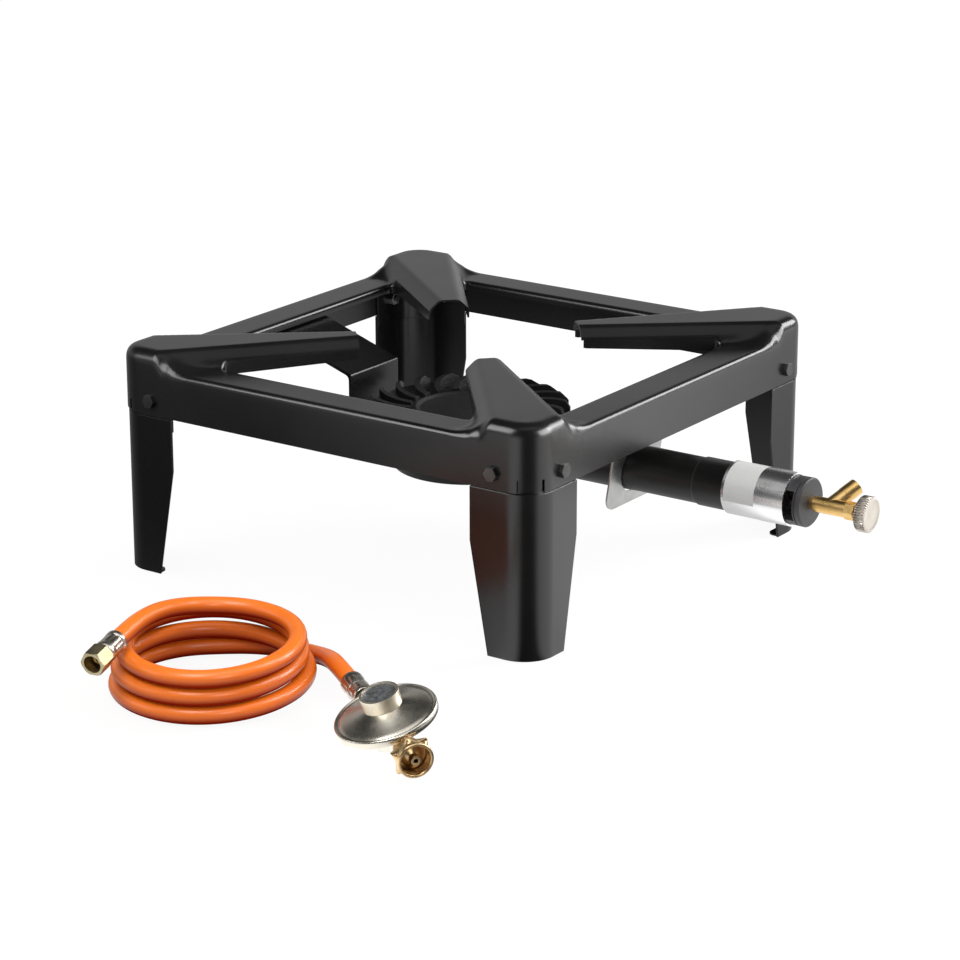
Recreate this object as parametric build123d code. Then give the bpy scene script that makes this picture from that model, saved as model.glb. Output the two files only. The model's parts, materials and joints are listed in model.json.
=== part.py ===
from build123d import *
import math
import os

# Gas burner stove: pressed steel stand, cast burner, air sleeve, needle valve, hose and regulator.
# Millimetres, +Z up. The origin is on the floor under the burner's centre, +X runs along the burner tube.

# Stand
frame_side = 400.0
leg_height = 131.0
skirt_height = 37.4
sheet = 1.5
corner_r = 24.0
edge_r = 5.0
band_width = 34.0
lip_drop = 7.0
notch_r = 6.0
slit_width = 2.2
slit_height = 10.0
slit_turn = 23.0
corner_raise = 1.2

# Pot arms pressed into the top
arm_rise = 14.3
arm_tip = 89.5
arm_tip_width = 34.0
arm_root_width = 58.0
arm_slope = 8.5
arm_edge_r = 3.0
arm_tip_lift = 4.6
hip_run = 10.0
hip_drop = 10.0
hip_corner_r = 14.0
eave_r = 8.0
roof_setback = 0.05

# Legs and their screws
leg_setback = 0.2
leg_skirt_gap = 1.0
leg_corner_r = 25.5
leg_width = 57.0
leg_foot_width = 41.0
leg_taper_height = 88.0
tab_top_gap = 0.9
tab_overlap = 10.0
foot_lip_width = 10.0
foot_lip_length = 22.0
foot_lip_corner_r = 6.0
foot_lip_edge_gap = 1.5
screw_from_corner = 36.75
screw_above_edge = 12.0
screw_r = 3.0
screw_length = 10.0
screw_head_width = 10.0
screw_head_height = 4.0
screw_hole_clearance = 0.2
thread_clearance = 0.05
nut_height = 5.0

# Burner strap and tube plate
burner_hang = 72.9
strap_width = 64.0
strap_thickness = 2.5
strap_bend_r = 2.0
strap_lip_gap = 1.5
strap_weld_length = 5.7
strap_bowl_gap = 13.5
strap_end = 32.0
weld_edge_gap = 0.5
plate_width = 71.0
plate_thickness = 1.5
plate_lean = 8.9
plate_lip_gap = 4.0
plate_drop = 29.5
plate_corner_r = 12.0
plate_hole_gap = 0.5

# Burner casting
bowl_bottom_r = 60.0
bowl_rim_r = 80.0
bowl_wall = 5.0
bowl_floor = 6.0
bowl_depth = 25.5
bowl_rim_rise = 16.5
bowl_lip_height = 4.0
bowl_lip_flare = 2.0
bowl_heel_ease = 1.0
boss_r = 9.0
boss_below_rim = 6.0
tube_overhang = 85.0
tube_r = 19.1
tube_waist_r = 18.2
tube_neck_r = 18.8
tube_bore_r = 14.0
tube_step_out = 22.0
tube_step_length = 2.0
tube_taper_in = 35.0
tube_taper_length = 15.0

# Burner crown
crown_plate = 4.0
crown_spigot_depth = 4.0
crown_spigot_wall = 6.0
crown_spigot_gap = 0.4
dish_r = 42.0
dish_depth = 1.5
dish_rim_height = 2.0
dish_rim_width = 3.0
fin_count = 21
fin_thickness = 6.0
fin_inner_r = 46.0
fin_overhang = 3.0
fin_inner_height = 3.0
fin_outer_height = 6.5
fin_corner = 4.0
fin_swirl = -22.0
fin_skirt = 3.5
port_r = 1.6
port_circle_r = 60.0

# Burner bolt
bolt_r = 4.0
bolt_head_width = 13.0
bolt_head_height = 5.3
bolt_reach = 4.0
bolt_tip_gap = 1.0
washer_r = 8.0
washer_thickness = 1.5
bolt_hole_clearance = 0.3

# Air sleeve, air cap and jet
shutter_length = 53.7
shutter_on_tube = 34.6
shutter_wall = 1.4
shutter_clearance = 0.3
cap_spigot = 13.0
cap_spigot_gap = 0.2
cap_spigot_wall = 2.5
cap_open_length = 27.5
cap_nose_length = 5.0
cap_nose_under = 0.2
cap_nose_chamfer = 1.0
window_width = 23.0
window_start = 3.0
window_end_gap = 1.0
jet_hex = 10.0
jet_hex_length = 8.0
jet_tip_length = 5.0
jet_tip_r = 3.2
jet_hole_r = 0.4
jet_shank_length = 5.0
jet_shank_r = 2.2

# Valve and knob
valve_neck_r = 4.8
valve_neck_out = 3.5
valve_r = 6.2
valve_length = 27.5
valve_bore_r = 1.5
valve_chamber_r = 3.6
valve_chamber_length = 17.5
branch_r = 6.58
branch_root_r = 6.3
branch_bore_r = 3.0
branch_from_end = 14.5
branch_length = 27.0
branch_thread_length = 12.0
branch_angle = 68.0
branch_roll = 62.0
packing_length = 3.0
gland_thread_length = 6.0
gland_hex = 12.5
gland_hex_length = 7.5
spindle_r = 2.0
spindle_clearance = 0.05
needle_length = 5.0
needle_tip_r = 0.5
needle_in_seat = 3.0
knob_r = 14.0
knob_length = 9.5
knob_gap = 4.5
knob_flutes = 48
knob_flute_r = 0.55
knob_dish_depth = 1.2
knob_dish_r = 9.5
knob_edge = 1.2
knob_wall = 3.0

# Hose coil: radius of each turn at its back, left, front and right
hose_d = 13.3
coil_center_x = 34.1
coil_center_y = -368.7
coil_turn_angle = 35.07
coil_back = [70.5, 67.0, 73.0, 52.0]
coil_left = [68.4, 66.0, 62.0]
coil_front = [68.4, 69.0, 70.5]
coil_right = [69.0, 63.5, 62.5]
coil_lay_gap = 0.7
coil_lead_end = 6.0
coil_floor_gap = 0.6
coil_last_drop = 4.0
coil_last_drift = -4.0
coil_end = (-64.4, -31.0, 49.5)
coil_end_aim = (-0.400, -0.901, -0.169)

# Hose tail: points from the coil to the regulator, on the coil's own axes
tail_points = [
    (25.0, 70.5, 7.25),
    (44.0, 65.5, 7.4),
    (61.0, 55.0, 8.5),
    (74.5, 40.0, 11.1),
    (83.5, 21.5, 15.5),
]
tail_last_run = 34.0
tail_arc_share = 0.45

# Fittings at the stove end of the hose
ferrule_r = 8.3
ferrule_length = 20.0
ferrule_bead = 0.6
ferrule_bead_length = 3.0
nipple_r = 3.0
nipple_bore_r = 1.8
nipple_set_in = 2.0
nipple_head_r = 5.6
nipple_head_length = 1.8
nipple_cone_length = 2.2
nipple_cone_r = 3.4
union_hex = 17.0
union_length = 15.0
union_back = 3.0
union_gap = 0.5
union_thread_r = 6.65
union_thread_length = 7.5
union_relief_r = 7.0
union_chamfer = 1.0
swivel_gap = 0.3

# Regulator: its place on the floor, and its sizes from its own centre
reg_x = 211.7
reg_y = -391.9
reg_z = 17.9
reg_turn = -34.1
reg_dip = 3.2
reg_lean = 17.0
reg_mid_z = 11.0
reg_rim_r = 37.0
reg_rim_height = 5.0
reg_rim_lip = 0.9
reg_hub_r = 14.0
reg_hub_depth = 9.0
reg_hub_top = 1.0
reg_wall = 2.6
reg_chamber_r = 12.0
diaphragm_thickness = 0.4
cover_sheet = 1.2
cover_shoulder_r = 34.5
cap_r = 14.0
cap_height = 10.0
cap_wall = 1.6
cover_top_rise = 9.7
cap_recess = 1.0
disc_thickness = 0.5
outlet_r = 8.0
outlet_reach = 44.0
outlet_bore_r = 3.0
outlet_thread_r = 5.0
outlet_thread_length = 6.0
outlet_collar_r = 7.2
outlet_collar_length = 8.0
outlet_collar_gap = 2.0
reg_ferrule_r = 8.6
reg_ferrule_length = 29.0
reg_ferrule_bead_length = 4.8
inlet_r = 9.0
inlet_reach = 30.0
nozzle_r = 5.5
nozzle_thread_length = 7.0
nozzle_collar_r = 8.0
nozzle_collar_length = 2.7
nozzle_tip_r = 3.4
nozzle_bore_r = 1.7
nozzle_tip_back = 0.5
wheel_rim_gap = 0.8
wheel_length = 14.7
wheel_back = 3.2
wheel_thread_r = 10.4
wheel_ring_r = 12.6
wheel_lobe_reach = 14.9
wheel_lobe_r = 3.0
wheel_lobes = 6
wheel_lobe_length = 9.2

# Regulator works
plate_disc_r = 16.0
plate_disc_thickness = 1.6
stem_r = 1.3
stem_cone_top = 4.2
stem_cone_low = -4.0
stem_cone_slope = 1 / 3
plug_r = 3.0
plug_nose_r = 0.8
plug_nose_length = 6.0
plug_gap = 0.3
seat_gap = 0.6
spring_wire = 1.2
spring_r = 8.0
spring_turns = 4
adjuster_r = 11.5
adjuster_thickness = 2.2
adjuster_bore_r = 4.0
cap_thread_gap = 0.3

# Points per width when the space between passes is measured
gap_points = 6

# Places that follow from the sizes above
half = frame_side / 2
skirt_bottom = leg_height
band_z = leg_height + skirt_height
band_under = band_z - sheet
opening = half - band_width
lip_outer = opening + sheet
lip_bottom = band_z - lip_drop
flat_end = half - edge_r - weld_edge_gap
ridge_z = band_z + arm_rise
screw_z = skirt_bottom + screw_above_edge
screw_along = half - screw_from_corner
tube_z = band_z - burner_hang
bowl_bottom = tube_z - bowl_depth
bowl_rim = tube_z + bowl_rim_rise
bowl_mouth_r = bowl_rim_r - bowl_lip_flare - bowl_wall
tube_end = half + tube_overhang
nose_start = tube_end + cap_open_length
nose_end = nose_start + cap_nose_length
shutter_r = tube_r + shutter_clearance
valve_start = nose_end + valve_neck_out
valve_end = valve_start + valve_length
chamber_start = valve_end - valve_chamber_length
gland_end = valve_end + gland_hex_length
knob_start = gland_end + knob_gap
hose_r = hose_d / 2
hose_lay = hose_d + coil_lay_gap
diagonal = half * math.sqrt(2)


def turned(points):
    # Solid turned about Z from (radius, height) points
    return revolve(Plane.XZ * make_face(Polyline(*points, close=True)), Axis.Z)


def post(r, low, high):
    return extrude(Pos(0, 0, low) * Circle(r), amount=high - low)


def turned_x(points):
    # Solid turned about X from (place, radius) points
    return revolve(Plane.XZ * make_face(Polyline(*points, close=True)), Axis.X)


def rod(r, start, end):
    return extrude(Plane.YZ.offset(start) * Circle(r), amount=end - start)


def hex_rod(width, start, end):
    outline = RegularPolygon(width / 2, 6, major_radius=False)
    return extrude(Plane.YZ.offset(start) * outline, amount=end - start)


def corners(shape):
    # The shape at all four corners of the stand
    return [Rotation(0, 0, 90 * k) * shape for k in range(4)]


# Pressed frame
def plan(inset):
    side = frame_side - 2 * inset
    return RectangleRounded(side, side, corner_r - inset)


def tray(inset, drop):
    low = skirt_bottom - drop
    top = band_z - inset
    block = extrude(Pos(0, 0, low) * plan(inset), amount=top - low)
    rim = [e for e in block.edges() if abs(e.center().Z - top) < 1e-6]
    return fillet(rim, edge_r - inset)


def corner_roof(inset):
    # Roof that slopes from the skirt up to the arms' level
    eave = ridge_z - hip_drop - inset
    ridge = eave + hip_drop
    side = frame_side - 2 * hip_run - 2 * inset
    top = Pos(0, 0, ridge) * RectangleRounded(side, side, hip_corner_r)
    wall = plan(inset + roof_setback)
    roof = loft([wall, Pos(0, 0, eave) * wall, top], ruled=True)
    eaves = [e for e in roof.edges() if abs(e.center().Z - eave) < 1e-6]
    return fillet(eaves, eave_r - inset) + extrude(top, amount=arm_rise)


arm_spread = (arm_root_width - arm_tip_width) / 2
arm_root = opening * math.sqrt(2) - arm_root_width / 2


def arm_half(s):
    return arm_tip_width / 2 + arm_spread * (s - arm_tip) / (arm_root - arm_tip)


def arm_bottom(s):
    return lip_bottom + arm_tip_lift * (arm_root - s) / (arm_root - arm_tip)


def arm_section(s, inset, spare, deep):
    wide = arm_half(s) - inset + spare
    # The sheet turns half of 45 degrees at each shoulder
    narrow = arm_half(s) - arm_slope - inset * math.tan(math.pi / 8)
    top = ridge_z - inset
    shoulder = top - (wide - narrow)
    low = arm_bottom(s) - deep
    points = [(-wide, low), (-wide, shoulder), (-narrow, top), (narrow, top), (wide, shoulder), (wide, low)]
    across = Plane(origin=(s, 0, 0), x_dir=(0, 1, 0), z_dir=(1, 0, 0))
    return across * make_face(Polyline(*points, close=True))


def arm(inset, spare, deep, tip):
    far = diagonal + corner_r
    body = loft([arm_section(tip, inset, spare, deep), arm_section(far, inset, spare, deep)], ruled=True)
    ridges = [e for e in body.edges() if abs(e.tangent_at(0.5).X) > 0.9]
    ridges = sorted(ridges, key=lambda e: e.center().Z)[-2:]
    return Rotation(0, 0, 45) * fillet(ridges, arm_edge_r - inset)


def make_frame():
    outer_arms = corners(arm(0, 2 * sheet, 0, arm_tip) & corner_roof(0))
    inner_arms = corners(arm(sheet, 0, skirt_height, arm_tip - lip_drop) & corner_roof(sheet))
    band_block = extrude(plan(sheet) - Rectangle(2 * lip_outer, 2 * lip_outer), amount=band_under)
    lip_ring = Rectangle(2 * lip_outer, 2 * lip_outer) - Rectangle(2 * opening, 2 * opening)
    lips = extrude(Pos(0, 0, lip_bottom) * lip_ring, amount=lip_drop - sheet / 2)
    pressed = tray(0, 0) + outer_arms - tray(sheet, lip_drop)
    pressed = pressed + [a - band_block for a in outer_arms] + lips - inner_arms
    # The opening runs along the lips and round the four arms
    slope = arm_spread / (arm_root - arm_tip)
    root = (opening * math.sqrt(2) - arm_tip_width / 2 + slope * arm_tip) / (1 + slope)
    outline = []
    notches = []
    for k in range(4):
        turn = math.radians(45 + 90 * k)
        for s, side in ((root, -1), (arm_tip, -1), (arm_tip, 1), (root, 1)):
            w = side * arm_half(s)
            x = s * math.cos(turn) - w * math.sin(turn)
            y = s * math.sin(turn) + w * math.cos(turn)
            outline.append((x, y))
            if s == root:
                notches.append(Pos(x, y, 0) * post(notch_r, lip_bottom - lip_drop, band_z + sheet))
    hole = extrude(Pos(0, 0, skirt_bottom) * make_face(Polyline(*outline, close=True)), amount=frame_side)
    pressed = pressed - hole - notches
    cuts = []
    bar = 4 * sheet
    at_bend = Pos(half - corner_r, half - corner_r, skirt_bottom)
    for side in (-1, 1):
        at_screw = Pos(half - sheet, side * screw_along, screw_z)
        cuts += corners(at_screw * Rotation(0, 90, 0) * Cylinder(screw_r + screw_hole_clearance, bar))
        turn = Rotation(0, 0, 45 + side * slit_turn) * Pos(corner_r - sheet, 0, slit_height / 2)
        cuts += corners(at_bend * turn * Box(bar, slit_width, slit_height))
    # The corner between the slits ends a little higher
    between = 2 * corner_r * math.sin(math.radians(slit_turn))
    raised = at_bend * Rotation(0, 0, 45) * Pos(corner_r - sheet, 0, 0) * Box(2 * bar, between, 2 * corner_raise)
    return pressed - cuts - corners(raised)


# Legs
def make_leg(turn):
    face = half - leg_setback
    top = skirt_bottom - leg_skirt_gap
    side = 2 * face
    outside = RectangleRounded(side, side, leg_corner_r)
    wall = outside - RectangleRounded(side - 2 * sheet, side - 2 * sheet, leg_corner_r - sheet)
    edge = face - leg_width
    foot = face - leg_foot_width
    taper = [(edge, top), (edge, leg_taper_height), (foot, 0), (half, 0), (half, top)]
    shape = make_face(Polyline(*taper, close=True))
    one = extrude(Plane.XZ * shape, amount=side, both=True)
    other = extrude(Plane.YZ * shape, amount=side, both=True)
    leg = extrude(wall, amount=top) & one & other
    # The leg's top is set in behind the skirt, where it is screwed
    inside = half - sheet
    tab_low = top - tab_overlap
    tab_height = band_z - edge_r - tab_top_gap - tab_low
    deep = inside - sheet
    fold = RectangleRounded(2 * inside, 2 * inside, corner_r)
    fold -= RectangleRounded(2 * deep, 2 * deep, corner_r - sheet)
    at_corner = Pos(edge, edge, tab_low) * Box(
        leg_width, leg_width, tab_height, align=(Align.MIN, Align.MIN, Align.MIN))
    tab = extrude(Pos(0, 0, tab_low) * fold, amount=tab_height) & at_corner
    drill = Cylinder(screw_r + screw_hole_clearance, 4 * sheet)
    tab -= Pos(inside, screw_along, screw_z) * Rotation(0, 90, 0) * drill
    tab -= Pos(screw_along, inside, screw_z) * Rotation(90, 0, 0) * drill
    lip_middle = foot + foot_lip_edge_gap + foot_lip_length / 2
    lip_shape = RectangleRounded(2 * foot_lip_width, foot_lip_length, foot_lip_corner_r)
    lip = extrude(Pos(face - sheet, lip_middle) * lip_shape, amount=sheet) & extrude(outside, amount=sheet)
    lip_other = mirror(lip, Plane.XZ.rotated((0, 0, 45)))
    return Rotation(0, 0, turn) * (leg + [tab, lip, lip_other])


# Screws and nuts at the eight tabs
def at_tabs(shape):
    found = []
    for side in (-1, 1):
        found += corners(Pos(0, side * screw_along, screw_z) * shape)
    return Compound(children=[s.solid() for s in found])


def make_leg_screws():
    head = hex_rod(screw_head_width, half, half + screw_head_height)
    return at_tabs(head + rod(screw_r, half - screw_length, half))


def make_leg_nuts():
    inner = half - 2 * sheet
    blank = hex_rod(screw_head_width, inner - nut_height, inner)
    return at_tabs(blank - rod(screw_r + thread_clearance, inner - nut_height, inner))


# Burner strap: welded under the rear band, down beside the bowl and under it
def make_burner_strap():
    fall = bowl_rim_r + strap_bowl_gap
    bend = flat_end - strap_weld_length
    pass_z = lip_bottom - strap_lip_gap
    slope = (band_under - pass_z) / (bend - lip_outer)
    shoulder = pass_z - slope * (lip_outer - fall)
    seat = bowl_bottom
    route = [(-flat_end, band_under), (-bend, band_under), (-fall, shoulder), (-fall, seat),
             (strap_end, seat)]
    top_line = FilletPolyline(*route, radius=strap_bend_r)
    ribbon = offset_ribbon(top_line, route)
    strap = extrude(Plane.XZ * ribbon, amount=strap_width / 2, both=True)
    return strap - post(bolt_r + bolt_hole_clearance, seat - 2 * strap_thickness, seat + strap_thickness)


def offset_ribbon(top_line, route):
    # The strap's thickness lies on the lower, outer side of its top line
    t = strap_thickness
    (ax, az), (bx, bz), (cx, cz), (dx, dz), (ex, ez) = route
    lean = math.atan2(bz - cz, cx - bx)
    low_b = (bx - t * math.tan(lean / 2), bz - t)
    turn = math.pi / 2 - lean
    low_c = (cx - t, cz - t * math.tan(turn / 2))
    outer_r = strap_bend_r + t
    under = FilletPolyline((ax, az - t), low_b, low_c, (dx - t, dz - t), (ex, ez - t), radius=outer_r)
    ends = [Line((ex, ez), (ex, ez - t)), Line((ax, az - t), (ax, az))]
    return make_face(top_line.edges() + under.edges() + ends)


# Galvanised plate that the burner tube passes through
def make_tube_plate():
    t = plate_thickness
    top_x = lip_outer + plate_lip_gap
    lean = math.radians(plate_lean)
    low_z = tube_z - plate_drop
    reach = (band_under - low_z) / math.cos(lean)
    sheet_face = Rectangle(plate_width, reach, align=(Align.CENTER, Align.MAX))
    rounded = fillet(sheet_face.vertices().group_by(Axis.Y)[0], plate_corner_r)
    hang = Plane(origin=(top_x, 0, band_under), x_dir=(0, 1, 0), z_dir=(math.cos(lean), 0, -math.sin(lean)))
    plate = extrude(hang * rounded, amount=-t)
    flange_length = flat_end - top_x + t
    flange = Pos(top_x - t, 0, band_under) * Box(
        flange_length, plate_width, t, align=(Align.MIN, Align.CENTER, Align.MAX))
    hole = Pos(0, 0, tube_z) * rod(tube_r + plate_hole_gap, opening - 2 * tube_r, half)
    upper = Box(frame_side, frame_side, band_under, align=(Align.MIN, Align.CENTER, Align.MIN))
    return (plate + flange) & upper - hole


# Burner bowl and mixing tube, one casting
def make_burner_bowl():
    lip_low = bowl_rim - bowl_lip_height
    inner_low = bowl_bottom + bowl_floor
    lip_r = bowl_rim_r - bowl_lip_flare
    heel_r = bowl_bottom_r - bowl_wall + bowl_heel_ease
    outside = [(0, bowl_bottom), (bowl_bottom_r, bowl_bottom), (lip_r, lip_low), (bowl_rim_r, bowl_rim),
               (0, bowl_rim)]
    inside = [(0, inner_low), (heel_r, inner_low), (bowl_mouth_r, lip_low), (bowl_mouth_r, bowl_rim),
              (0, bowl_rim)]
    taper = half - tube_taper_in
    step = half + tube_step_out
    root = bowl_bottom_r / 2
    tube = turned_x([(root, 0), (root, tube_neck_r), (taper - tube_taper_length, tube_neck_r),
                     (taper, tube_waist_r), (step, tube_waist_r), (step + tube_step_length, tube_r),
                     (tube_end, tube_r), (tube_end, 0)])
    tube = Pos(0, 0, tube_z) * tube
    above = post(bowl_rim_r + crown_plate, bowl_rim, bowl_rim + tube_neck_r)
    body = turned(outside) + (tube - above) - turned(inside)
    bore = Pos(0, 0, tube_z) * rod(tube_bore_r, 2 * boss_r, tube_end)
    boss = post(boss_r, bowl_bottom, bowl_rim - boss_below_rim)
    bolt_way = post(bolt_r + bolt_hole_clearance, bowl_bottom, bowl_rim)
    return body - bore + boss - bolt_way


# Burner crown with its ring of curved fins
fin_outer_r = bowl_rim_r + fin_overhang


def fin_turn(r):
    # How far a fin has swept round at this radius, in degrees
    share = (r - fin_inner_r) / (fin_outer_r - fin_inner_r)
    return fin_swirl * (1 - math.cos(share * math.pi / 2))


def fin_outline():
    def at(r, side):
        turn = math.radians(fin_turn(r)) + side * fin_thickness / 2 / r
        return (r * math.cos(turn), r * math.sin(turn))
    outer = fin_outer_r
    middle = (fin_inner_r + outer) / 2
    right = ThreePointArc(at(fin_inner_r, -1), at(middle, -1), at(outer, -1))
    left = ThreePointArc(at(outer, 1), at(middle, 1), at(fin_inner_r, 1))
    ends = [Line(at(outer, -1), at(outer, 1)), Line(at(fin_inner_r, 1), at(fin_inner_r, -1))]
    return make_face([right, left] + ends)


def make_burner_crown():
    top = bowl_rim + crown_plate
    spigot_r = bowl_mouth_r - crown_spigot_gap
    spigot_in = spigot_r - crown_spigot_wall
    rim_top = top + dish_rim_height
    dish_low = top - dish_depth
    boss_low = bowl_rim - boss_below_rim
    plate = turned([(0, boss_low), (boss_r, boss_low), (boss_r, bowl_rim), (spigot_in, bowl_rim),
                    (spigot_in, bowl_rim - crown_spigot_depth), (spigot_r, bowl_rim - crown_spigot_depth),
                    (spigot_r, bowl_rim), (bowl_rim_r, bowl_rim), (bowl_rim_r, top),
                    (dish_r + dish_rim_width, top), (dish_r, rim_top), (dish_r - dish_rim_width, top),
                    (0, dish_low)])
    outer = fin_outer_r
    low = top - fin_skirt
    ring = turned([(fin_inner_r, low), (outer, low), (outer, top + fin_outer_height - fin_corner),
                   (outer - fin_corner, top + fin_outer_height), (fin_inner_r, top + fin_inner_height)])
    fin = extrude(Pos(0, 0, low) * fin_outline(), amount=fin_skirt + fin_outer_height) & ring
    fins = [Rotation(0, 0, 360 / fin_count * k) * fin for k in range(fin_count)]
    between = 180 / fin_count + fin_turn(port_circle_r)
    port = Rotation(0, 0, between) * Pos(port_circle_r, 0, 0) * post(port_r, bowl_rim, top)
    ports = [Rotation(0, 0, 360 / fin_count * k) * port for k in range(fin_count)]
    bolt_way = post(bolt_r + thread_clearance, boss_low, boss_low + bolt_reach + bolt_tip_gap)
    return plate + fins - ports - bolt_way


def make_burner_bolt():
    under = bowl_bottom - strap_thickness - washer_thickness
    outline = RegularPolygon(bolt_head_width / 2, 6, major_radius=False)
    head = extrude(Pos(0, 0, under) * outline, amount=-bolt_head_height)
    return head + post(bolt_r, under, bowl_rim - boss_below_rim + bolt_reach)


def make_burner_washer():
    top = bowl_bottom - strap_thickness
    return post(washer_r, top - washer_thickness, top) - post(bolt_r + bolt_hole_clearance, 0, bowl_rim)


# Air sleeve, air cap and jet on the tube's axis
def on_tube(shape):
    return Pos(0, 0, tube_z) * shape


def make_air_shutter():
    start = tube_end - shutter_on_tube
    end = start + shutter_length
    return on_tube(rod(shutter_r + shutter_wall, start, end) - rod(shutter_r, start, end))


def make_air_cap():
    nose_r = shutter_r - cap_nose_under
    spigot_r = tube_bore_r - cap_spigot_gap
    body = rod(spigot_r, tube_end - cap_spigot, tube_end) + rod(tube_r, tube_end, nose_start)
    nose = rod(nose_r, nose_start, nose_end)
    rims = nose.edges().filter_by(GeomType.CIRCLE)
    body += chamfer(rims, cap_nose_chamfer)
    body -= rod(spigot_r - cap_spigot_wall, tube_end - cap_spigot, tube_end + window_start)
    body -= rod(tube_bore_r, tube_end + window_start, nose_start)
    body -= rod(valve_neck_r, nose_start, nose_end)
    low = tube_end + window_start
    high = nose_start - window_end_gap
    window = Box(high - low, window_width, 2 * tube_r, align=(Align.MIN, Align.CENTER, Align.MIN))
    for turn in (90, 270):
        body -= Rotation(turn, 0, 0) * Pos(low, 0, 0) * window
    return on_tube(body)


def make_jet():
    hex_start = nose_start - jet_hex_length
    tip = hex_start - jet_tip_length
    jet = turned_x([(tip, 0), (tip, jet_tip_r / 2), (hex_start, jet_tip_r), (hex_start, 0)])
    jet += hex_rod(jet_hex, hex_start, nose_start)
    jet += rod(jet_shank_r, nose_start, nose_start + jet_shank_length)
    return on_tube(jet - rod(jet_hole_r, tip, nose_start + jet_shank_length))


# Needle valve
def make_valve_body():
    branch_x = valve_end - branch_from_end
    aim = Pos(branch_x, 0, 0) * Rotation(-branch_roll, 0, 0) * Rotation(0, 90 - branch_angle, 0)
    body = rod(valve_neck_r, nose_start, valve_start) + rod(valve_r, valve_start, valve_end)
    body += aim * post(branch_root_r, 0, branch_length - branch_thread_length)
    body += aim * post(branch_r, branch_length - branch_thread_length, branch_length)
    body -= rod(jet_shank_r, nose_start, nose_start + jet_shank_length)
    body -= rod(valve_bore_r, nose_start, chamber_start)
    body -= rod(valve_chamber_r, chamber_start, valve_end)
    return on_tube(body - aim * post(branch_bore_r, 0, branch_length))


def make_spindle_packing():
    end = valve_end - gland_thread_length
    ring = rod(valve_chamber_r, end - packing_length, end)
    return on_tube(ring - rod(spindle_r + spindle_clearance, end - packing_length, end))


def make_gland_nut():
    thread = rod(valve_chamber_r - thread_clearance, valve_end - gland_thread_length, valve_end)
    nut = thread + hex_rod(gland_hex, valve_end, gland_end)
    return on_tube(nut - rod(spindle_r + spindle_clearance, valve_end - gland_thread_length, gland_end))


def make_valve_spindle():
    tip = chamber_start - needle_in_seat
    end = knob_start + knob_length - knob_wall
    needle = [(tip, 0), (tip, needle_tip_r), (tip + needle_length, spindle_r), (end, spindle_r), (end, 0)]
    return on_tube(turned_x(needle))


def make_knob():
    end = knob_start + knob_length
    knob = turned_x([(knob_start, 0), (knob_start, knob_r - knob_edge), (knob_start + knob_edge, knob_r),
                     (end - 2 * knob_edge, knob_r), (end, knob_r - 2 * knob_edge), (end, knob_dish_r),
                     (end - knob_dish_depth, knob_dish_r - knob_dish_depth), (end - knob_dish_depth, 0)])
    flute = Pos(0, 0, knob_r) * rod(knob_flute_r, knob_start, end)
    knob -= [Rotation(360 / knob_flutes * k, 0, 0) * flute for k in range(knob_flutes)]
    depth = knob_length - knob_wall + swivel_gap
    return on_tube(knob - rod(spindle_r + spindle_clearance, knob_start, knob_start + depth))


# Round wire or hose along quarter turns, each quarter as two arcs that meet smoothly
def quarter_turns(points, aims):
    edges = []
    for start, end, aim, last in zip(points, points[1:], aims, aims[1:]):
        step = end - start
        both = aim + last
        part = 2 * (1 - aim.dot(last))
        along = step.dot(both)
        arm_length = (-along + math.sqrt(along ** 2 + part * step.dot(step))) / part
        middle = (start + end + (aim - last) * arm_length) * 0.5
        turn = (end - last * arm_length) - (start + aim * arm_length)
        edges.append(TangentArc(start, middle, tangent=aim))
        edges.append(TangentArc(middle, end, tangent=turn.normalized()))
    return edges


def round_sweep(edges, r):
    line = Wire(edges)
    start = Plane(origin=line @ 0, z_dir=line % 0)
    return sweep(start * Circle(r), path=line)


def least_gap(edges, d):
    # Smallest space between passes of the same tube, measured on points along it
    points = []
    for edge in edges:
        count = max(2, int(edge.length / d * gap_points))
        points += [edge @ (i / count) for i in range(count)]
    skip = gap_points * gap_points
    least = min((a - b).length for i, a in enumerate(points) for b in points[i + skip:])
    return least - d


def coil_path():
    radii = []
    for k in range(len(coil_back)):
        radii.append(coil_back[k])
        if k < len(coil_left):
            radii += [coil_left[k], coil_front[k], coil_right[k]]
    points = []
    for q, r in enumerate(radii):
        turn = math.radians(90 + 90 * q)
        climbed = q // 4 + (0.5 if q % 4 == 3 else 0)
        z = hose_r + coil_floor_gap + hose_lay * climbed
        points.append(Vector(r * math.cos(turn), r * math.sin(turn), z))
    points[-1] -= Vector(0, 0, coil_last_drop)
    points[0] += Vector(coil_lead_end - hose_d, 0, 0)
    end_aim = Vector(*coil_end_aim).normalized()
    end = Vector(*coil_end)
    points.append(end - end_aim * hose_d)
    aims = [Vector(-1, 0, 0)]
    for q in range(1, len(radii)):
        turn = math.radians(90 + 90 * q)
        drift = (radii[q + 1] - radii[q - 1]) / 2 if q + 1 < len(radii) else coil_last_drift
        rise = (points[q + 1].Z - points[q - 1].Z) / 2
        round_step = radii[q] * math.pi / 2
        aim_x = drift * math.cos(turn) - round_step * math.sin(turn)
        aim_y = drift * math.sin(turn) + round_step * math.cos(turn)
        aims.append(Vector(aim_x, aim_y, rise).normalized())
    aims.append(end_aim)
    lead = Line(points[0] + Vector(hose_d, 0, 0), points[0])
    return [lead] + quarter_turns(points, aims) + [Line(points[-1], end)]


coil_place = Pos(coil_center_x, coil_center_y, 0) * Rotation(0, 0, coil_turn_angle)


def make_hose_coil():
    edges = coil_path()
    print("coil gap", round(least_gap(edges, hose_d), 3), "length", round(sum(e.length for e in edges), 1))
    return coil_place * round_sweep(edges, hose_r)


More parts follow.
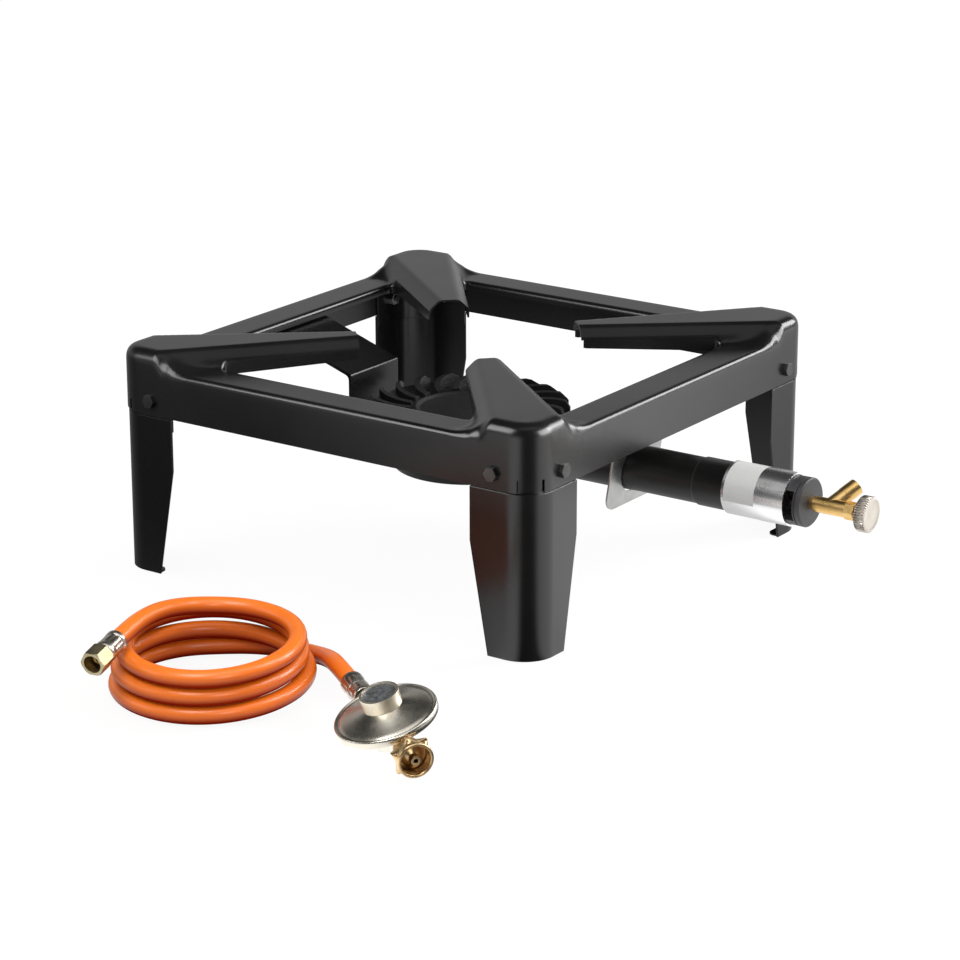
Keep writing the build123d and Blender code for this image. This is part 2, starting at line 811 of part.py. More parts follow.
# Regulator frame: X towards the cylinder, Z through its cover
reg_tilt = Rotation(0, 0, reg_turn) * Rotation(0, reg_dip, 0) * Rotation(reg_lean, 0, 0)
reg_place = Pos(reg_x, reg_y, reg_z) * reg_tilt
collar_end = -outlet_reach - outlet_collar_length
ferrule_start = collar_end - outlet_collar_gap
hose_end_x = ferrule_start - reg_ferrule_length


def make_hose_tail():
    end = (reg_place * Pos(hose_end_x, 0, 0)).position
    behind = (reg_place * Pos(hose_end_x - tail_last_run, 0, 0)).position
    start = Vector(coil_lead_end, coil_back[0], hose_r + coil_floor_gap)
    points = [(coil_place * Pos(*p)).position for p in [tuple(start)] + tail_points] + [behind, end]
    radii = []
    for before, here, after in zip(points, points[1:], points[2:]):
        turn = math.radians((here - before).get_angle(after - here))
        shorter = min((here - before).length, (after - here).length)
        radii.append(tail_arc_share * shorter / math.tan(turn / 2))
    line = FilletPolyline(*points, radius=radii)
    tail = sweep(Plane(origin=line @ 0, z_dir=line % 0) * Circle(hose_r), path=line)
    print("tail radii", [round(r, 1) for r in radii], "length", round(line.length, 1))
    share = tail.volume / (math.pi * hose_r ** 2 * line.length)
    print("tail volume over section times length", round(share, 4))
    return tail


# Stove end of the hose: ferrule, nipple and union nut along the hose's last direction
stove_end = Plane(origin=coil_end, z_dir=coil_end_aim).location
nut_start = ferrule_length + union_gap


def make_ferrule_stove_end():
    bead = ferrule_bead_length
    low = ferrule_r - ferrule_bead
    ring = turned([(nipple_r, 0), (ferrule_r, 0), (ferrule_r, bead), (low, bead + ferrule_bead),
                   (low, ferrule_length - bead - ferrule_bead), (ferrule_r, ferrule_length - bead),
                   (ferrule_r, ferrule_length), (nipple_r, ferrule_length)])
    return coil_place * stove_end * ring


def make_stove_end_nipple():
    head = nut_start + union_back + swivel_gap
    cone = head + nipple_head_length
    tip = cone + nipple_cone_length
    nipple = turned([(nipple_bore_r, nipple_set_in), (nipple_r, nipple_set_in), (nipple_r, head),
                     (nipple_head_r, head), (nipple_head_r, cone), (nipple_cone_r, tip),
                     (nipple_bore_r, tip)])
    return coil_place * stove_end * nipple


def make_union_nut():
    end = nut_start + union_length
    thread = end - union_thread_length
    outline = RegularPolygon(union_hex / 2, 6, major_radius=False)
    blank = extrude(Pos(0, 0, nut_start) * outline, amount=union_length)
    blank -= post(nipple_r + swivel_gap, nut_start, nut_start + union_back)
    blank -= post(union_relief_r, nut_start + union_back, thread)
    blank -= post(union_thread_r, thread, end)
    wide = union_hex / math.sqrt(3)
    narrow = wide - union_chamfer
    rounded = turned([(0, nut_start), (narrow, nut_start), (wide, nut_start + union_chamfer),
                      (wide, end - union_chamfer), (narrow, end), (0, end)])
    return coil_place * stove_end * (blank & rounded)


# Regulator shells
rim_low = reg_mid_z - reg_rim_height / 2
rim_high = reg_mid_z + reg_rim_height / 2
seat_low = reg_mid_z - diaphragm_thickness / 2
seat_high = reg_mid_z + diaphragm_thickness / 2
body_r = reg_rim_r - reg_rim_lip
cover_top = reg_mid_z + cover_top_rise
cap_top = cover_top + cap_height
nozzle_start = inlet_reach - nozzle_thread_length
wheel_start = reg_rim_r + wheel_rim_gap
wheel_end = wheel_start + wheel_length
plug_start = stem_r + stem_cone_slope * (stem_cone_top + plug_nose_r) + plug_gap
plug_end = nozzle_start - seat_gap


def make_regulator_body():
    hub_low = -reg_hub_depth
    body = turned([(0, hub_low), (reg_hub_r, hub_low), (reg_hub_r, reg_hub_top), (body_r, rim_low),
                   (body_r, seat_low), (0, seat_low)])
    body += rod(outlet_r, -outlet_reach, 0) + rod(inlet_r, 0, inlet_reach)
    floor = hub_low + reg_wall
    chamber = turned([(0, floor), (reg_chamber_r, floor), (reg_chamber_r, reg_hub_top + reg_wall),
                      (body_r - 2 * reg_wall, seat_low), (0, seat_low)])
    body -= chamber
    body -= rod(outlet_bore_r, -outlet_reach, 0)
    body -= rod(outlet_thread_r + thread_clearance, -outlet_reach, -outlet_reach + outlet_thread_length)
    body -= rod(plug_r + plug_gap, 0, nozzle_start)
    body -= rod(nozzle_r + thread_clearance, nozzle_start, inlet_reach)
    return reg_place * body


def make_regulator_cover():
    t = cover_sheet
    inner_r = cap_r - cap_wall - cap_thread_gap
    room_r = cover_shoulder_r - 2 * reg_wall
    cover = turned([(body_r, rim_low), (reg_rim_r, rim_low), (reg_rim_r, rim_high),
                    (cover_shoulder_r, rim_high), (cap_r, cover_top), (inner_r, cover_top),
                    (inner_r, cover_top - t), (room_r, seat_high + t), (room_r, seat_high),
                    (body_r, seat_high)])
    return reg_place * cover


def make_regulator_cap():
    floor = cap_top - cap_recess - disc_thickness - cap_wall
    inner = cap_r - cap_wall
    cup = turned([(inner, cover_top), (cap_r, cover_top), (cap_r, cap_top), (inner, cap_top),
                  (inner, floor + cap_wall), (0, floor + cap_wall), (0, floor), (inner, floor)])
    return reg_place * cup


def make_cap_disc():
    low = cap_top - cap_recess - disc_thickness
    return reg_place * post(cap_r - cap_wall, low, low + disc_thickness)


def make_outlet_nipple():
    barb_end = hose_end_x + reg_ferrule_length / 2
    inner = -outlet_reach + outlet_thread_length
    nipple = turned_x([(barb_end, nipple_bore_r), (barb_end, nipple_r), (collar_end, nipple_r),
                       (collar_end, outlet_collar_r), (-outlet_reach, outlet_collar_r),
                       (-outlet_reach, outlet_thread_r), (inner, outlet_thread_r), (inner, nipple_bore_r)])
    return reg_place * nipple


def make_ferrule_regulator_end():
    bead = reg_ferrule_bead_length
    low = reg_ferrule_r - ferrule_bead
    ring = turned_x([(hose_end_x, nipple_r), (hose_end_x, reg_ferrule_r), (hose_end_x + bead, reg_ferrule_r),
                     (hose_end_x + bead + ferrule_bead, low), (ferrule_start - bead - ferrule_bead, low),
                     (ferrule_start - bead, reg_ferrule_r), (ferrule_start, reg_ferrule_r),
                     (ferrule_start, nipple_r)])
    return reg_place * ring


# Cylinder connection
def make_inlet_nozzle():
    collar = wheel_start + wheel_back + swivel_gap
    cone = collar + nozzle_collar_length
    tip = wheel_end - nozzle_tip_back
    nozzle = turned_x([(nozzle_start, nozzle_bore_r), (nozzle_start, nozzle_r), (collar, nozzle_r),
                       (collar, nozzle_collar_r), (cone, nozzle_collar_r),
                       (cone + nozzle_collar_length, nozzle_tip_r), (tip, nozzle_tip_r),
                       (tip, nozzle_bore_r)])
    return reg_place * nozzle


def make_handwheel():
    inside = wheel_start + wheel_back
    wheel = rod(wheel_ring_r, wheel_start, wheel_end)
    lobe = rod(wheel_lobe_r, wheel_start, wheel_start + wheel_lobe_length)
    lobe = Pos(0, 0, wheel_lobe_reach - wheel_lobe_r) * lobe
    wheel += [Rotation(360 / wheel_lobes * k, 0, 0) * lobe for k in range(wheel_lobes)]
    wheel -= rod(nozzle_r + swivel_gap, wheel_start, inside)
    return reg_place * (wheel - rod(wheel_thread_r, inside, wheel_end))


# Regulator works
def make_diaphragm():
    hole = post(stem_r + swivel_gap, seat_low, seat_high)
    return reg_place * (post(body_r, seat_low, seat_high) - hole)


def make_diaphragm_plate():
    # The stem's cone pushes the plug towards its seat as the diaphragm lifts
    cone_r = stem_r + stem_cone_slope * (stem_cone_top - stem_cone_low)
    disc_top = seat_high + plate_disc_thickness
    plate = turned([(0, stem_cone_low), (cone_r, stem_cone_low), (stem_r, stem_cone_top), (stem_r, seat_high),
                    (plate_disc_r, seat_high), (plate_disc_r, disc_top), (0, disc_top)])
    return reg_place * plate


def make_valve_plug():
    shoulder = plug_start + plug_nose_length
    return reg_place * (rod(plug_nose_r, plug_start, shoulder) + rod(plug_r, shoulder, plug_end))


def make_regulator_spring():
    low = seat_high + plate_disc_thickness + spring_wire / 2
    high = adjuster_low() - spring_wire / 2
    quarters = 4 * spring_turns
    rise = (high - low) / quarters
    points = []
    aims = []
    for q in range(quarters + 1):
        turn = math.pi / 2 * q
        points.append(Vector(spring_r * math.cos(turn), spring_r * math.sin(turn), low + rise * q))
        round_step = spring_r * math.pi / 2
        aims.append(Vector(-round_step * math.sin(turn), round_step * math.cos(turn), rise).normalized())
    edges = quarter_turns(points, aims)
    print("spring gap", round(least_gap(edges, spring_wire), 3))
    return reg_place * round_sweep(edges, spring_wire / 2)


def adjuster_low():
    return cap_top - cap_recess - disc_thickness - cap_wall - adjuster_thickness


def make_spring_adjuster():
    low = adjuster_low()
    ring = post(adjuster_r, low, low + adjuster_thickness)
    return reg_place * (ring - post(adjuster_bore_r, low, low + adjuster_thickness))


nodes = {
    "frame": make_frame(),
    "leg_front_right": make_leg(0),
    "leg_rear_right": make_leg(90),
    "leg_rear_left": make_leg(180),
    "leg_front_left": make_leg(270),
    "leg_screws": make_leg_screws(),
    "leg_nuts": make_leg_nuts(),
    "burner_strap": make_burner_strap(),
    "tube_plate": make_tube_plate(),
    "burner_bowl": make_burner_bowl(),
    "burner_crown": make_burner_crown(),
    "burner_bolt": make_burner_bolt(),
    "burner_washer": make_burner_washer(),
    "air_shutter": make_air_shutter(),
    "air_cap": make_air_cap(),
    "jet": make_jet(),
    "valve_body": make_valve_body(),
    "spindle_packing": make_spindle_packing(),
    "gland_nut": make_gland_nut(),
    "valve_spindle": make_valve_spindle(),
    "knob": make_knob(),
    "hose_coil": make_hose_coil(),
    "hose_tail": make_hose_tail(),
    "ferrule_stove_end": make_ferrule_stove_end(),
    "stove_end_nipple": make_stove_end_nipple(),
    "union_nut": make_union_nut(),
    "regulator_body": make_regulator_body(),
    "regulator_cover": make_regulator_cover(),
    "regulator_cap": make_regulator_cap(),
    "cap_disc": make_cap_disc(),
    "outlet_nipple": make_outlet_nipple(),
    "ferrule_regulator_end": make_ferrule_regulator_end(),
    "inlet_nozzle": make_inlet_nozzle(),
    "handwheel": make_handwheel(),
    "diaphragm": make_diaphragm(),
    "diaphragm_plate": make_diaphragm_plate(),
    "valve_plug": make_valve_plug(),
    "regulator_spring": make_regulator_spring(),
    "spring_adjuster": make_spring_adjuster(),
}

os.makedirs("parts", exist_ok=True)
for name, shape in nodes.items():
    export_step(shape, f"parts/{name}.step")
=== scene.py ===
import json
import math

import bmesh
import bpy
import numpy as np
from mathutils import Matrix, Vector
from mathutils.geometry import delaunay_2d_cdt


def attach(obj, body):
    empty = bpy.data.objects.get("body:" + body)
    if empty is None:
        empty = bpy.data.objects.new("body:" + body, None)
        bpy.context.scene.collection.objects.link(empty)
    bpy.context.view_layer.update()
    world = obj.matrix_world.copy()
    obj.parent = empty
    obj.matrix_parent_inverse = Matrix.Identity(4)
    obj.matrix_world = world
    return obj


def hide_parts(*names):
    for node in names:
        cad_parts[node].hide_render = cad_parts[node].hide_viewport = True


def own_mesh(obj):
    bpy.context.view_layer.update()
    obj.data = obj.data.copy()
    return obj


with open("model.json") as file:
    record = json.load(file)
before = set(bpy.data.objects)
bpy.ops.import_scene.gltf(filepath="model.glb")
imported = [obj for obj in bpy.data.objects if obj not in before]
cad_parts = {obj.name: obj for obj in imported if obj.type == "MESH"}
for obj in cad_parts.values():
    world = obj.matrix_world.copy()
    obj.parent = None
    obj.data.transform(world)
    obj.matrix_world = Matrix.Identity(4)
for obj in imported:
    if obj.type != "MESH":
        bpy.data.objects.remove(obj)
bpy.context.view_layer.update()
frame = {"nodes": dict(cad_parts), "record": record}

nodes = frame["nodes"]
mm = 0.001
print("frame loaded:", len(nodes), "nodes")


# Camera at the photograph's place: metres and degrees, with lens and sensor in millimetres
cameraView = {
    "place": (1.45833, -2.05999, 0.87274),
    "azimuth": 35.073,
    "elevation": 17.957,
    "roll": -0.079,
    "lens": 122.44,
    "sensor": 36.0,
    "nearest": 0.05,
    "farthest": 50.0,
}


def makeCamera():
    data = bpy.data.cameras.new("viewCamera")
    data.lens = cameraView["lens"]
    data.sensor_width = cameraView["sensor"]
    data.clip_start = cameraView["nearest"]
    data.clip_end = cameraView["farthest"]
    cam = bpy.data.objects.new("viewCamera", data)
    az = math.radians(cameraView["azimuth"])
    el = math.radians(cameraView["elevation"])
    right = Vector((math.cos(az), math.sin(az), 0.0))
    back = Vector((math.sin(az) * math.cos(el), -math.cos(az) * math.cos(el), math.sin(el)))
    up = back.cross(right)
    turn = Matrix((right, up, back)).transposed().to_4x4()
    roll = Matrix.Rotation(math.radians(cameraView["roll"]), 4, "Z")
    cam.matrix_world = Matrix.Translation(cameraView["place"]) @ turn @ roll
    bpy.context.scene.collection.objects.link(cam)
    bpy.context.scene.camera = cam


makeCamera()
print("camera set")


# Node helpers for the materials, the floor and the world
def startMaterial(name):
    mat = bpy.data.materials.new(name)
    mat.use_nodes = True
    shader = mat.node_tree.nodes["Principled BSDF"]
    return mat, mat.node_tree, shader


def noiseOf(tree, scale, detail, rough=0.5):
    noise = tree.nodes.new("ShaderNodeTexNoise")
    noise.inputs["Scale"].default_value = scale
    noise.inputs["Detail"].default_value = detail
    noise.inputs["Roughness"].default_value = rough
    place = tree.nodes.new("ShaderNodeTexCoord")
    tree.links.new(place.outputs["Object"], noise.inputs["Vector"])
    return noise.outputs["Fac"]


def rampOf(tree, fac, stops):
    # Grey tone or colour by fac, through stops of place and tone
    node = tree.nodes.new("ShaderNodeValToRGB")
    marks = node.color_ramp.elements
    while len(marks) < len(stops):
        marks.new(0.5)
    for mark, (place, tone) in zip(marks, stops):
        mark.position = place
        mark.color = (*tone, 1.0) if isinstance(tone, tuple) else (tone, tone, tone, 1.0)
    tree.links.new(fac, node.inputs["Fac"])
    return node.outputs["Color"]


def mathOf(tree, operation, first, second):
    node = tree.nodes.new("ShaderNodeMath")
    node.operation = operation
    for socket, value in zip(node.inputs, (first, second)):
        if isinstance(value, float):
            socket.default_value = value
        else:
            tree.links.new(value, socket)
    return node.outputs[0]


def mixOf(tree, share, first, second):
    node = tree.nodes.new("ShaderNodeMixShader")
    for socket, value in zip(node.inputs, (share, first, second)):
        tree.links.new(value, socket)
    return node.outputs[0]


# Finishes: colour and roughness drift with a cloud of noise, over a fine grain
surface = {
    "paintCloud": 9.0,
    "metalCloud": 60.0,
    "cloudDetail": 4.0,
    "metalBreak": 0.6,
    "paintSpan": (0.35, 0.65),
    "span": (0.3, 0.7),
    "grainDetail": 2.0,
    "edgeSamples": 6,
}
paints = {
    "standPaint": {"low": (0.0035, 0.0035, 0.0036), "high": (0.006, 0.0058, 0.0058), "rough": (0.22, 0.28)},
    "castBlack": {"low": (0.012, 0.012, 0.012), "high": (0.03, 0.029, 0.028), "rough": (0.38, 0.6)},
    "castGrey": {"low": (0.022, 0.022, 0.024), "high": (0.045, 0.045, 0.048), "rough": (0.42, 0.6)},
    "hoseOrange": {"low": (0.84, 0.165, 0.008), "high": (0.9, 0.19, 0.012), "rough": (0.28, 0.33)},
    "tubeBlack": {"low": (0.007, 0.007, 0.007), "high": (0.014, 0.0135, 0.013), "rough": (0.34, 0.46)},
}
metals = {
    "zincSteel": {"low": (0.5, 0.5, 0.5), "high": (0.66, 0.66, 0.66), "rough": (0.25, 0.38)},
    "darkScrew": {"low": (0.07, 0.07, 0.07), "high": (0.13, 0.13, 0.13), "rough": (0.35, 0.45)},
    "galvanised": {"low": (0.5, 0.5, 0.49), "high": (0.68, 0.68, 0.67), "rough": (0.3, 0.45)},
    "sleeveZinc": {"low": (0.7, 0.7, 0.7), "high": (0.74, 0.74, 0.74), "rough": (0.26, 0.29)},
    "brass": {"low": (0.52, 0.33, 0.11), "high": (0.68, 0.46, 0.19), "rough": (0.26, 0.36)},
    "wheelBrass": {"low": (0.58, 0.38, 0.18), "high": (0.8, 0.58, 0.32), "rough": (0.24, 0.34)},
    "knobNickel": {"low": (0.44, 0.4, 0.35), "high": (0.58, 0.53, 0.47), "rough": (0.26, 0.36)},
    "ferruleNickel": {"low": (0.49, 0.44, 0.38), "high": (0.68, 0.62, 0.55), "rough": (0.24, 0.34)},
    "yellowZinc": {"low": (0.36, 0.31, 0.18), "high": (0.5, 0.43, 0.27), "rough": (0.32, 0.42)},
    "regulatorZinc": {"low": (0.6, 0.56, 0.48), "high": (0.74, 0.7, 0.61), "rough": (0.24, 0.32)},
    "capZinc": {"low": (0.72, 0.65, 0.53), "high": (0.86, 0.79, 0.65), "rough": (0.34, 0.44)},
    "discGrey": {"low": (0.16, 0.17, 0.18), "high": (0.5, 0.52, 0.53), "rough": (0.4, 0.55)},
}


def drift(tree, shader, look, cloud, span):
    colour = rampOf(tree, cloud, list(zip(span, (look["low"], look["high"]))))
    rough = rampOf(tree, cloud, list(zip(surface["span"], look["rough"])))
    tree.links.new(colour, shader.inputs["Base Color"])
    tree.links.new(rough, shader.inputs["Roughness"])


def bumpFrom(tree, shader, grain, depth, edge):
    # Fine relief, and edges softened over a small radius
    bump = tree.nodes.new("ShaderNodeBump")
    bump.inputs["Strength"].default_value = 1.0
    bump.inputs["Distance"].default_value = depth
    tree.links.new(noiseOf(tree, grain, surface["grainDetail"]), bump.inputs["Height"])
    if edge:
        soft = tree.nodes.new("ShaderNodeBevel")
        soft.samples = surface["edgeSamples"]
        soft.inputs["Radius"].default_value = edge
        tree.links.new(soft.outputs["Normal"], bump.inputs["Normal"])
    tree.links.new(bump.outputs["Normal"], shader.inputs["Normal"])


def paintLike(name, grain, depth, edge=0.0):
    mat, tree, shader = startMaterial(name)
    cloud = noiseOf(tree, surface["paintCloud"], surface["cloudDetail"])
    drift(tree, shader, paints[name], cloud, surface["paintSpan"])
    bumpFrom(tree, shader, grain, depth, edge)
    return mat


def metalLike(name, grain, depth, edge, cloudScale=surface["metalCloud"]):
    mat, tree, shader = startMaterial(name)
    shader.inputs["Metallic"].default_value = 1.0
    cloud = noiseOf(tree, cloudScale, surface["cloudDetail"], surface["metalBreak"])
    drift(tree, shader, metals[name], cloud, surface["span"])
    bumpFrom(tree, shader, grain, depth, edge)
    return mat


# Blank pale label on the sleeve, between two places along it and two turns from its top
label = {
    "start": 0.2525,
    "end": 0.279,
    "from": -25.0,
    "to": 104.0,
    "axis": 0.0955,
    "tone": (0.52, 0.52, 0.51),
    "shade": 0.93,
    "grain": 900.0,
    "rough": 0.4,
}


def labelled(mat):
    tree = mat.node_tree
    place = tree.nodes.new("ShaderNodeTexCoord")
    split = tree.nodes.new("ShaderNodeSeparateXYZ")
    tree.links.new(place.outputs["Object"], split.inputs[0])
    height = mathOf(tree, "SUBTRACT", split.outputs["Z"], label["axis"])
    side = mathOf(tree, "MULTIPLY", split.outputs["Y"], -1.0)
    turn = mathOf(tree, "ARCTAN2", side, height)
    along = mathOf(tree, "MULTIPLY", mathOf(tree, "GREATER_THAN", split.outputs["X"], label["start"]),
                   mathOf(tree, "LESS_THAN", split.outputs["X"], label["end"]))
    around = mathOf(tree, "MULTIPLY", mathOf(tree, "GREATER_THAN", turn, math.radians(label["from"])),
                    mathOf(tree, "LESS_THAN", turn, math.radians(label["to"])))
    paper = tree.nodes.new("ShaderNodeBsdfPrincipled")
    shaded = tuple(c * label["shade"] for c in label["tone"])
    grain = noiseOf(tree, label["grain"], surface["grainDetail"])
    colour = rampOf(tree, grain, list(zip(surface["span"], (shaded, label["tone"]))))
    tree.links.new(colour, paper.inputs["Base Color"])
    paper.inputs["Roughness"].default_value = label["rough"]
    mixed = mixOf(tree, mathOf(tree, "MULTIPLY", along, around), tree.nodes["Principled BSDF"].outputs[0],
                  paper.outputs[0])
    tree.links.new(mixed, tree.nodes["Material Output"].inputs["Surface"])
    return mat


# Painted shade: deeper red on the underside of the hose as its surface faces down, with less gloss there and
# more on the top
hosePaintedShade = {"low": (0.3, 0.02, 0.003), "from": -0.5, "to": 0.5, "gloss": 0.7}


def paintShadeBelow(mat):
    tree = mat.node_tree
    shader = tree.nodes["Principled BSDF"]
    bright = shader.inputs["Base Color"].links[0].from_socket
    facing = tree.nodes.new("ShaderNodeNewGeometry")
    split = tree.nodes.new("ShaderNodeSeparateXYZ")
    tree.links.new(facing.outputs["Normal"], split.inputs[0])
    share = tree.nodes.new("ShaderNodeMapRange")
    share.inputs["From Min"].default_value = hosePaintedShade["from"]
    share.inputs["From Max"].default_value = hosePaintedShade["to"]
    tree.links.new(split.outputs["Z"], share.inputs["Value"])
    # painted shade: the colour goes to deep red as the surface faces down
    blend = tree.nodes.new("ShaderNodeMix")
    blend.data_type = "RGBA"
    blend.inputs["A"].default_value = (*hosePaintedShade["low"], 1.0)
    tree.links.new(bright, blend.inputs["B"])
    tree.links.new(share.outputs["Result"], blend.inputs["Factor"])
    tree.links.new(blend.outputs["Result"], shader.inputs["Base Color"])
    # painted sheen: the gloss grows as the surface faces up
    gloss = mathOf(tree, "MULTIPLY", share.outputs["Result"], hosePaintedShade["gloss"])
    tree.links.new(gloss, shader.inputs["Specular IOR Level"])
    return mat


def dress(material, *names):
    for name in names:
        slots = nodes[name].data.materials
        slots.clear()
        slots.append(material)


# Grain is a noise scale, depth and edge are in metres
standPaint = paintLike("standPaint", grain=900.0, depth=0.00003)
foldPaint = paintLike("standPaint", grain=900.0, depth=0.00003, edge=0.0013)
castBlack = paintLike("castBlack", grain=650.0, depth=0.0005, edge=0.0006)
tubeBlack = paintLike("tubeBlack", grain=420.0, depth=0.0001, edge=0.0006)
castGrey = paintLike("castGrey", grain=500.0, depth=0.00015, edge=0.0006)
hoseOrange = paintShadeBelow(paintLike("hoseOrange", grain=700.0, depth=0.00001))
zincSteel = metalLike("zincSteel", grain=600.0, depth=0.00003, edge=0.0003)
darkScrew = metalLike("darkScrew", grain=600.0, depth=0.00003, edge=0.0004)
galvanised = metalLike("galvanised", grain=300.0, depth=0.00003, edge=0.0003)
sleeveZinc = metalLike("sleeveZinc", grain=300.0, depth=0.000001, edge=0.0002)
brass = metalLike("brass", grain=500.0, depth=0.00003, edge=0.0004)
wheelBrass = metalLike("wheelBrass", grain=500.0, depth=0.00004, edge=0.0005)
knobNickel = metalLike("knobNickel", grain=500.0, depth=0.00002, edge=0.0003)
ferruleNickel = metalLike("ferruleNickel", grain=400.0, depth=0.00004, edge=0.0004)
yellowZinc = metalLike("yellowZinc", grain=400.0, depth=0.00004, edge=0.0005)
regulatorZinc = metalLike("regulatorZinc", grain=400.0, depth=0.00003, edge=0.0006)
capZinc = metalLike("capZinc", grain=400.0, depth=0.00003, edge=0.0005)
discGrey = metalLike("discGrey", grain=5400.0, depth=0.0001, edge=0.0003, cloudScale=360.0)

legs = ["leg_front_right", "leg_rear_right", "leg_rear_left", "leg_front_left"]
dress(standPaint, "frame")
dress(foldPaint, "burner_strap", *legs)
dress(darkScrew, "leg_screws")
dress(zincSteel, "leg_nuts", "burner_bolt", "burner_washer", "diaphragm_plate", "regulator_spring",
      "spring_adjuster")
dress(galvanised, "tube_plate")
dress(castBlack, "burner_crown")
dress(tubeBlack, "burner_bowl")
dress(castGrey, "air_cap", "diaphragm", "spindle_packing")
dress(discGrey, "cap_disc")
dress(labelled(sleeveZinc), "air_shutter")
dress(brass, "jet", "valve_body", "gland_nut", "valve_spindle", "stove_end_nipple", "valve_plug")
dress(wheelBrass, "handwheel", "inlet_nozzle")
dress(knobNickel, "knob")
dress(ferruleNickel, "ferrule_stove_end", "ferrule_regulator_end", "outlet_nipple")
dress(yellowZinc, "union_nut")
dress(regulatorZinc, "regulator_body", "regulator_cover")
dress(capZinc, "regulator_cap")
print("materials on", len(nodes), "nodes")


# Hose: one line from the regulator by the loose end and the coil to the union nut, in mm and degrees
hose = {
    "width": 13.3,
    "length": 1.55,  # metres
    "center": (34.1, -368.7),
    "turn": 35.07,
    "radii": [70.5, 68.4, 68.4, 69.0, 67.0, 66.0, 69.0, 63.5, 73.0, 62.0, 70.5, 62.5, 52.0],
    "lay": 14.0,
    "floorGap": 0.6,
    "lastDrop": 4.0,
    "lastDrift": -4.0,
    "pointsPerQuarter": 5,
    "tail": [(6.0, 70.5, 7.25), (25.0, 70.5, 7.25), (44.0, 65.5, 7.4), (61.0, 55.0, 8.5), (74.5, 40.0, 11.1),
             (83.5, 21.5, 15.5)],
    "end": (-64.4, -31.0, 49.5),
    "endAim": (-0.400, -0.901, -0.169),
    "endReach": 100.0,
    "roundSteps": 10,
    "alongSteps": 8,
}
regulator = {
    "place": (211.7, -391.9, 17.9),
    "turn": -34.1,
    "dip": 3.2,
    "lean": 17.0,
    "hoseEnd": -83.0,
    "lastRun": 34.0,
}


def regulatorMatrix():
    turn = Matrix.Rotation(math.radians(regulator["turn"]), 4, "Z")
    dip = Matrix.Rotation(math.radians(regulator["dip"]), 4, "Y")
    lean = Matrix.Rotation(math.radians(regulator["lean"]), 4, "X")
    return Matrix.Translation(regulator["place"]) @ turn @ dip @ lean


def coilMatrix():
    turn = Matrix.Rotation(math.radians(hose["turn"]), 4, "Z")
    return Matrix.Translation((*hose["center"], 0.0)) @ turn


def smoothStep(values, q):
    # Passes through each value, with the slope of its two neighbours
    i = min(int(q), len(values) - 2)
    t = q - i
    before = values[max(i - 1, 0)]
    after = values[min(i + 2, len(values) - 1)]
    a, b = values[i], values[i + 1]
    slopeA = (b - before) / 2
    slopeB = (after - a) / 2
    h = t * t * (3 - 2 * t)
    return a + (b - a) * h + slopeA * t * (1 - t) ** 2 - slopeB * t * t * (1 - t)


def coilPoints():
    quarters = len(hose["radii"]) - 1
    low = hose["width"] / 2 + hose["floorGap"]
    heights = [low + hose["lay"] * (q // 4 + (0.5 if q % 4 == 3 else 0)) for q in range(quarters + 1)]
    heights[-1] -= hose["lastDrop"]
    per = hose["pointsPerQuarter"]
    ease = 1 / math.cos(math.pi / 4 / per)  # the spline cuts inside its points
    found = []
    for k in range(1, quarters * per + 1):
        q = k / per
        angle = math.radians(90 + 90 * q)
        r = smoothStep(hose["radii"], q) * ease
        found.append(Vector((r * math.cos(angle), r * math.sin(angle), smoothStep(heights, q))))
    # Last stretch, from the top turn out to the nut
    start = found[-1]
    aim = Vector(hose["endAim"]).normalized()
    end = Vector(hose["end"])
    rise = end.z - heights[-2]
    startAim = Vector((-hose["radii"][-1] * math.pi / 2, hose["lastDrift"], rise / 2)).normalized()
    stop = end - aim * hose["width"]
    for k in range(1, per + 1):
        t = k / per
        h = t * t * (3 - 2 * t)
        bend = startAim * (t * (1 - t) ** 2) - aim * (t * t * (1 - t))
        found.append(start.lerp(stop, h) + bend * hose["endReach"])
    return found + [end]


def makeHose():
    place = coilMatrix()
    reg = regulatorMatrix()
    exitPoint = reg @ Vector((regulator["hoseEnd"], 0, 0))
    behind = reg @ Vector((regulator["hoseEnd"] - regulator["lastRun"], 0, 0))
    route = [exitPoint, behind]
    route += [place @ Vector(p) for p in reversed(hose["tail"])]
    route += [place @ p for p in coilPoints()]
    curve = bpy.data.curves.new("gasHose", "CURVE")
    curve.dimensions = "3D"
    curve.bevel_depth = hose["width"] / 2 * mm
    curve.bevel_resolution = hose["roundSteps"]
    curve.resolution_u = hose["alongSteps"]
    curve.use_fill_caps = True
    spline = curve.splines.new("NURBS")
    spline.points.add(len(route) - 1)
    for point, p in zip(spline.points, route):
        point.co = (*(p * mm), 1.0)
    spline.order_u = 3
    spline.use_endpoint_u = True
    piece = bpy.data.objects.new("gasHose", curve)
    bpy.context.scene.collection.objects.link(piece)
    curve.materials.append(hoseOrange)
    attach(piece, "stove")
    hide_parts("hose_coil", "hose_tail")


makeHose()
print("hose laid")


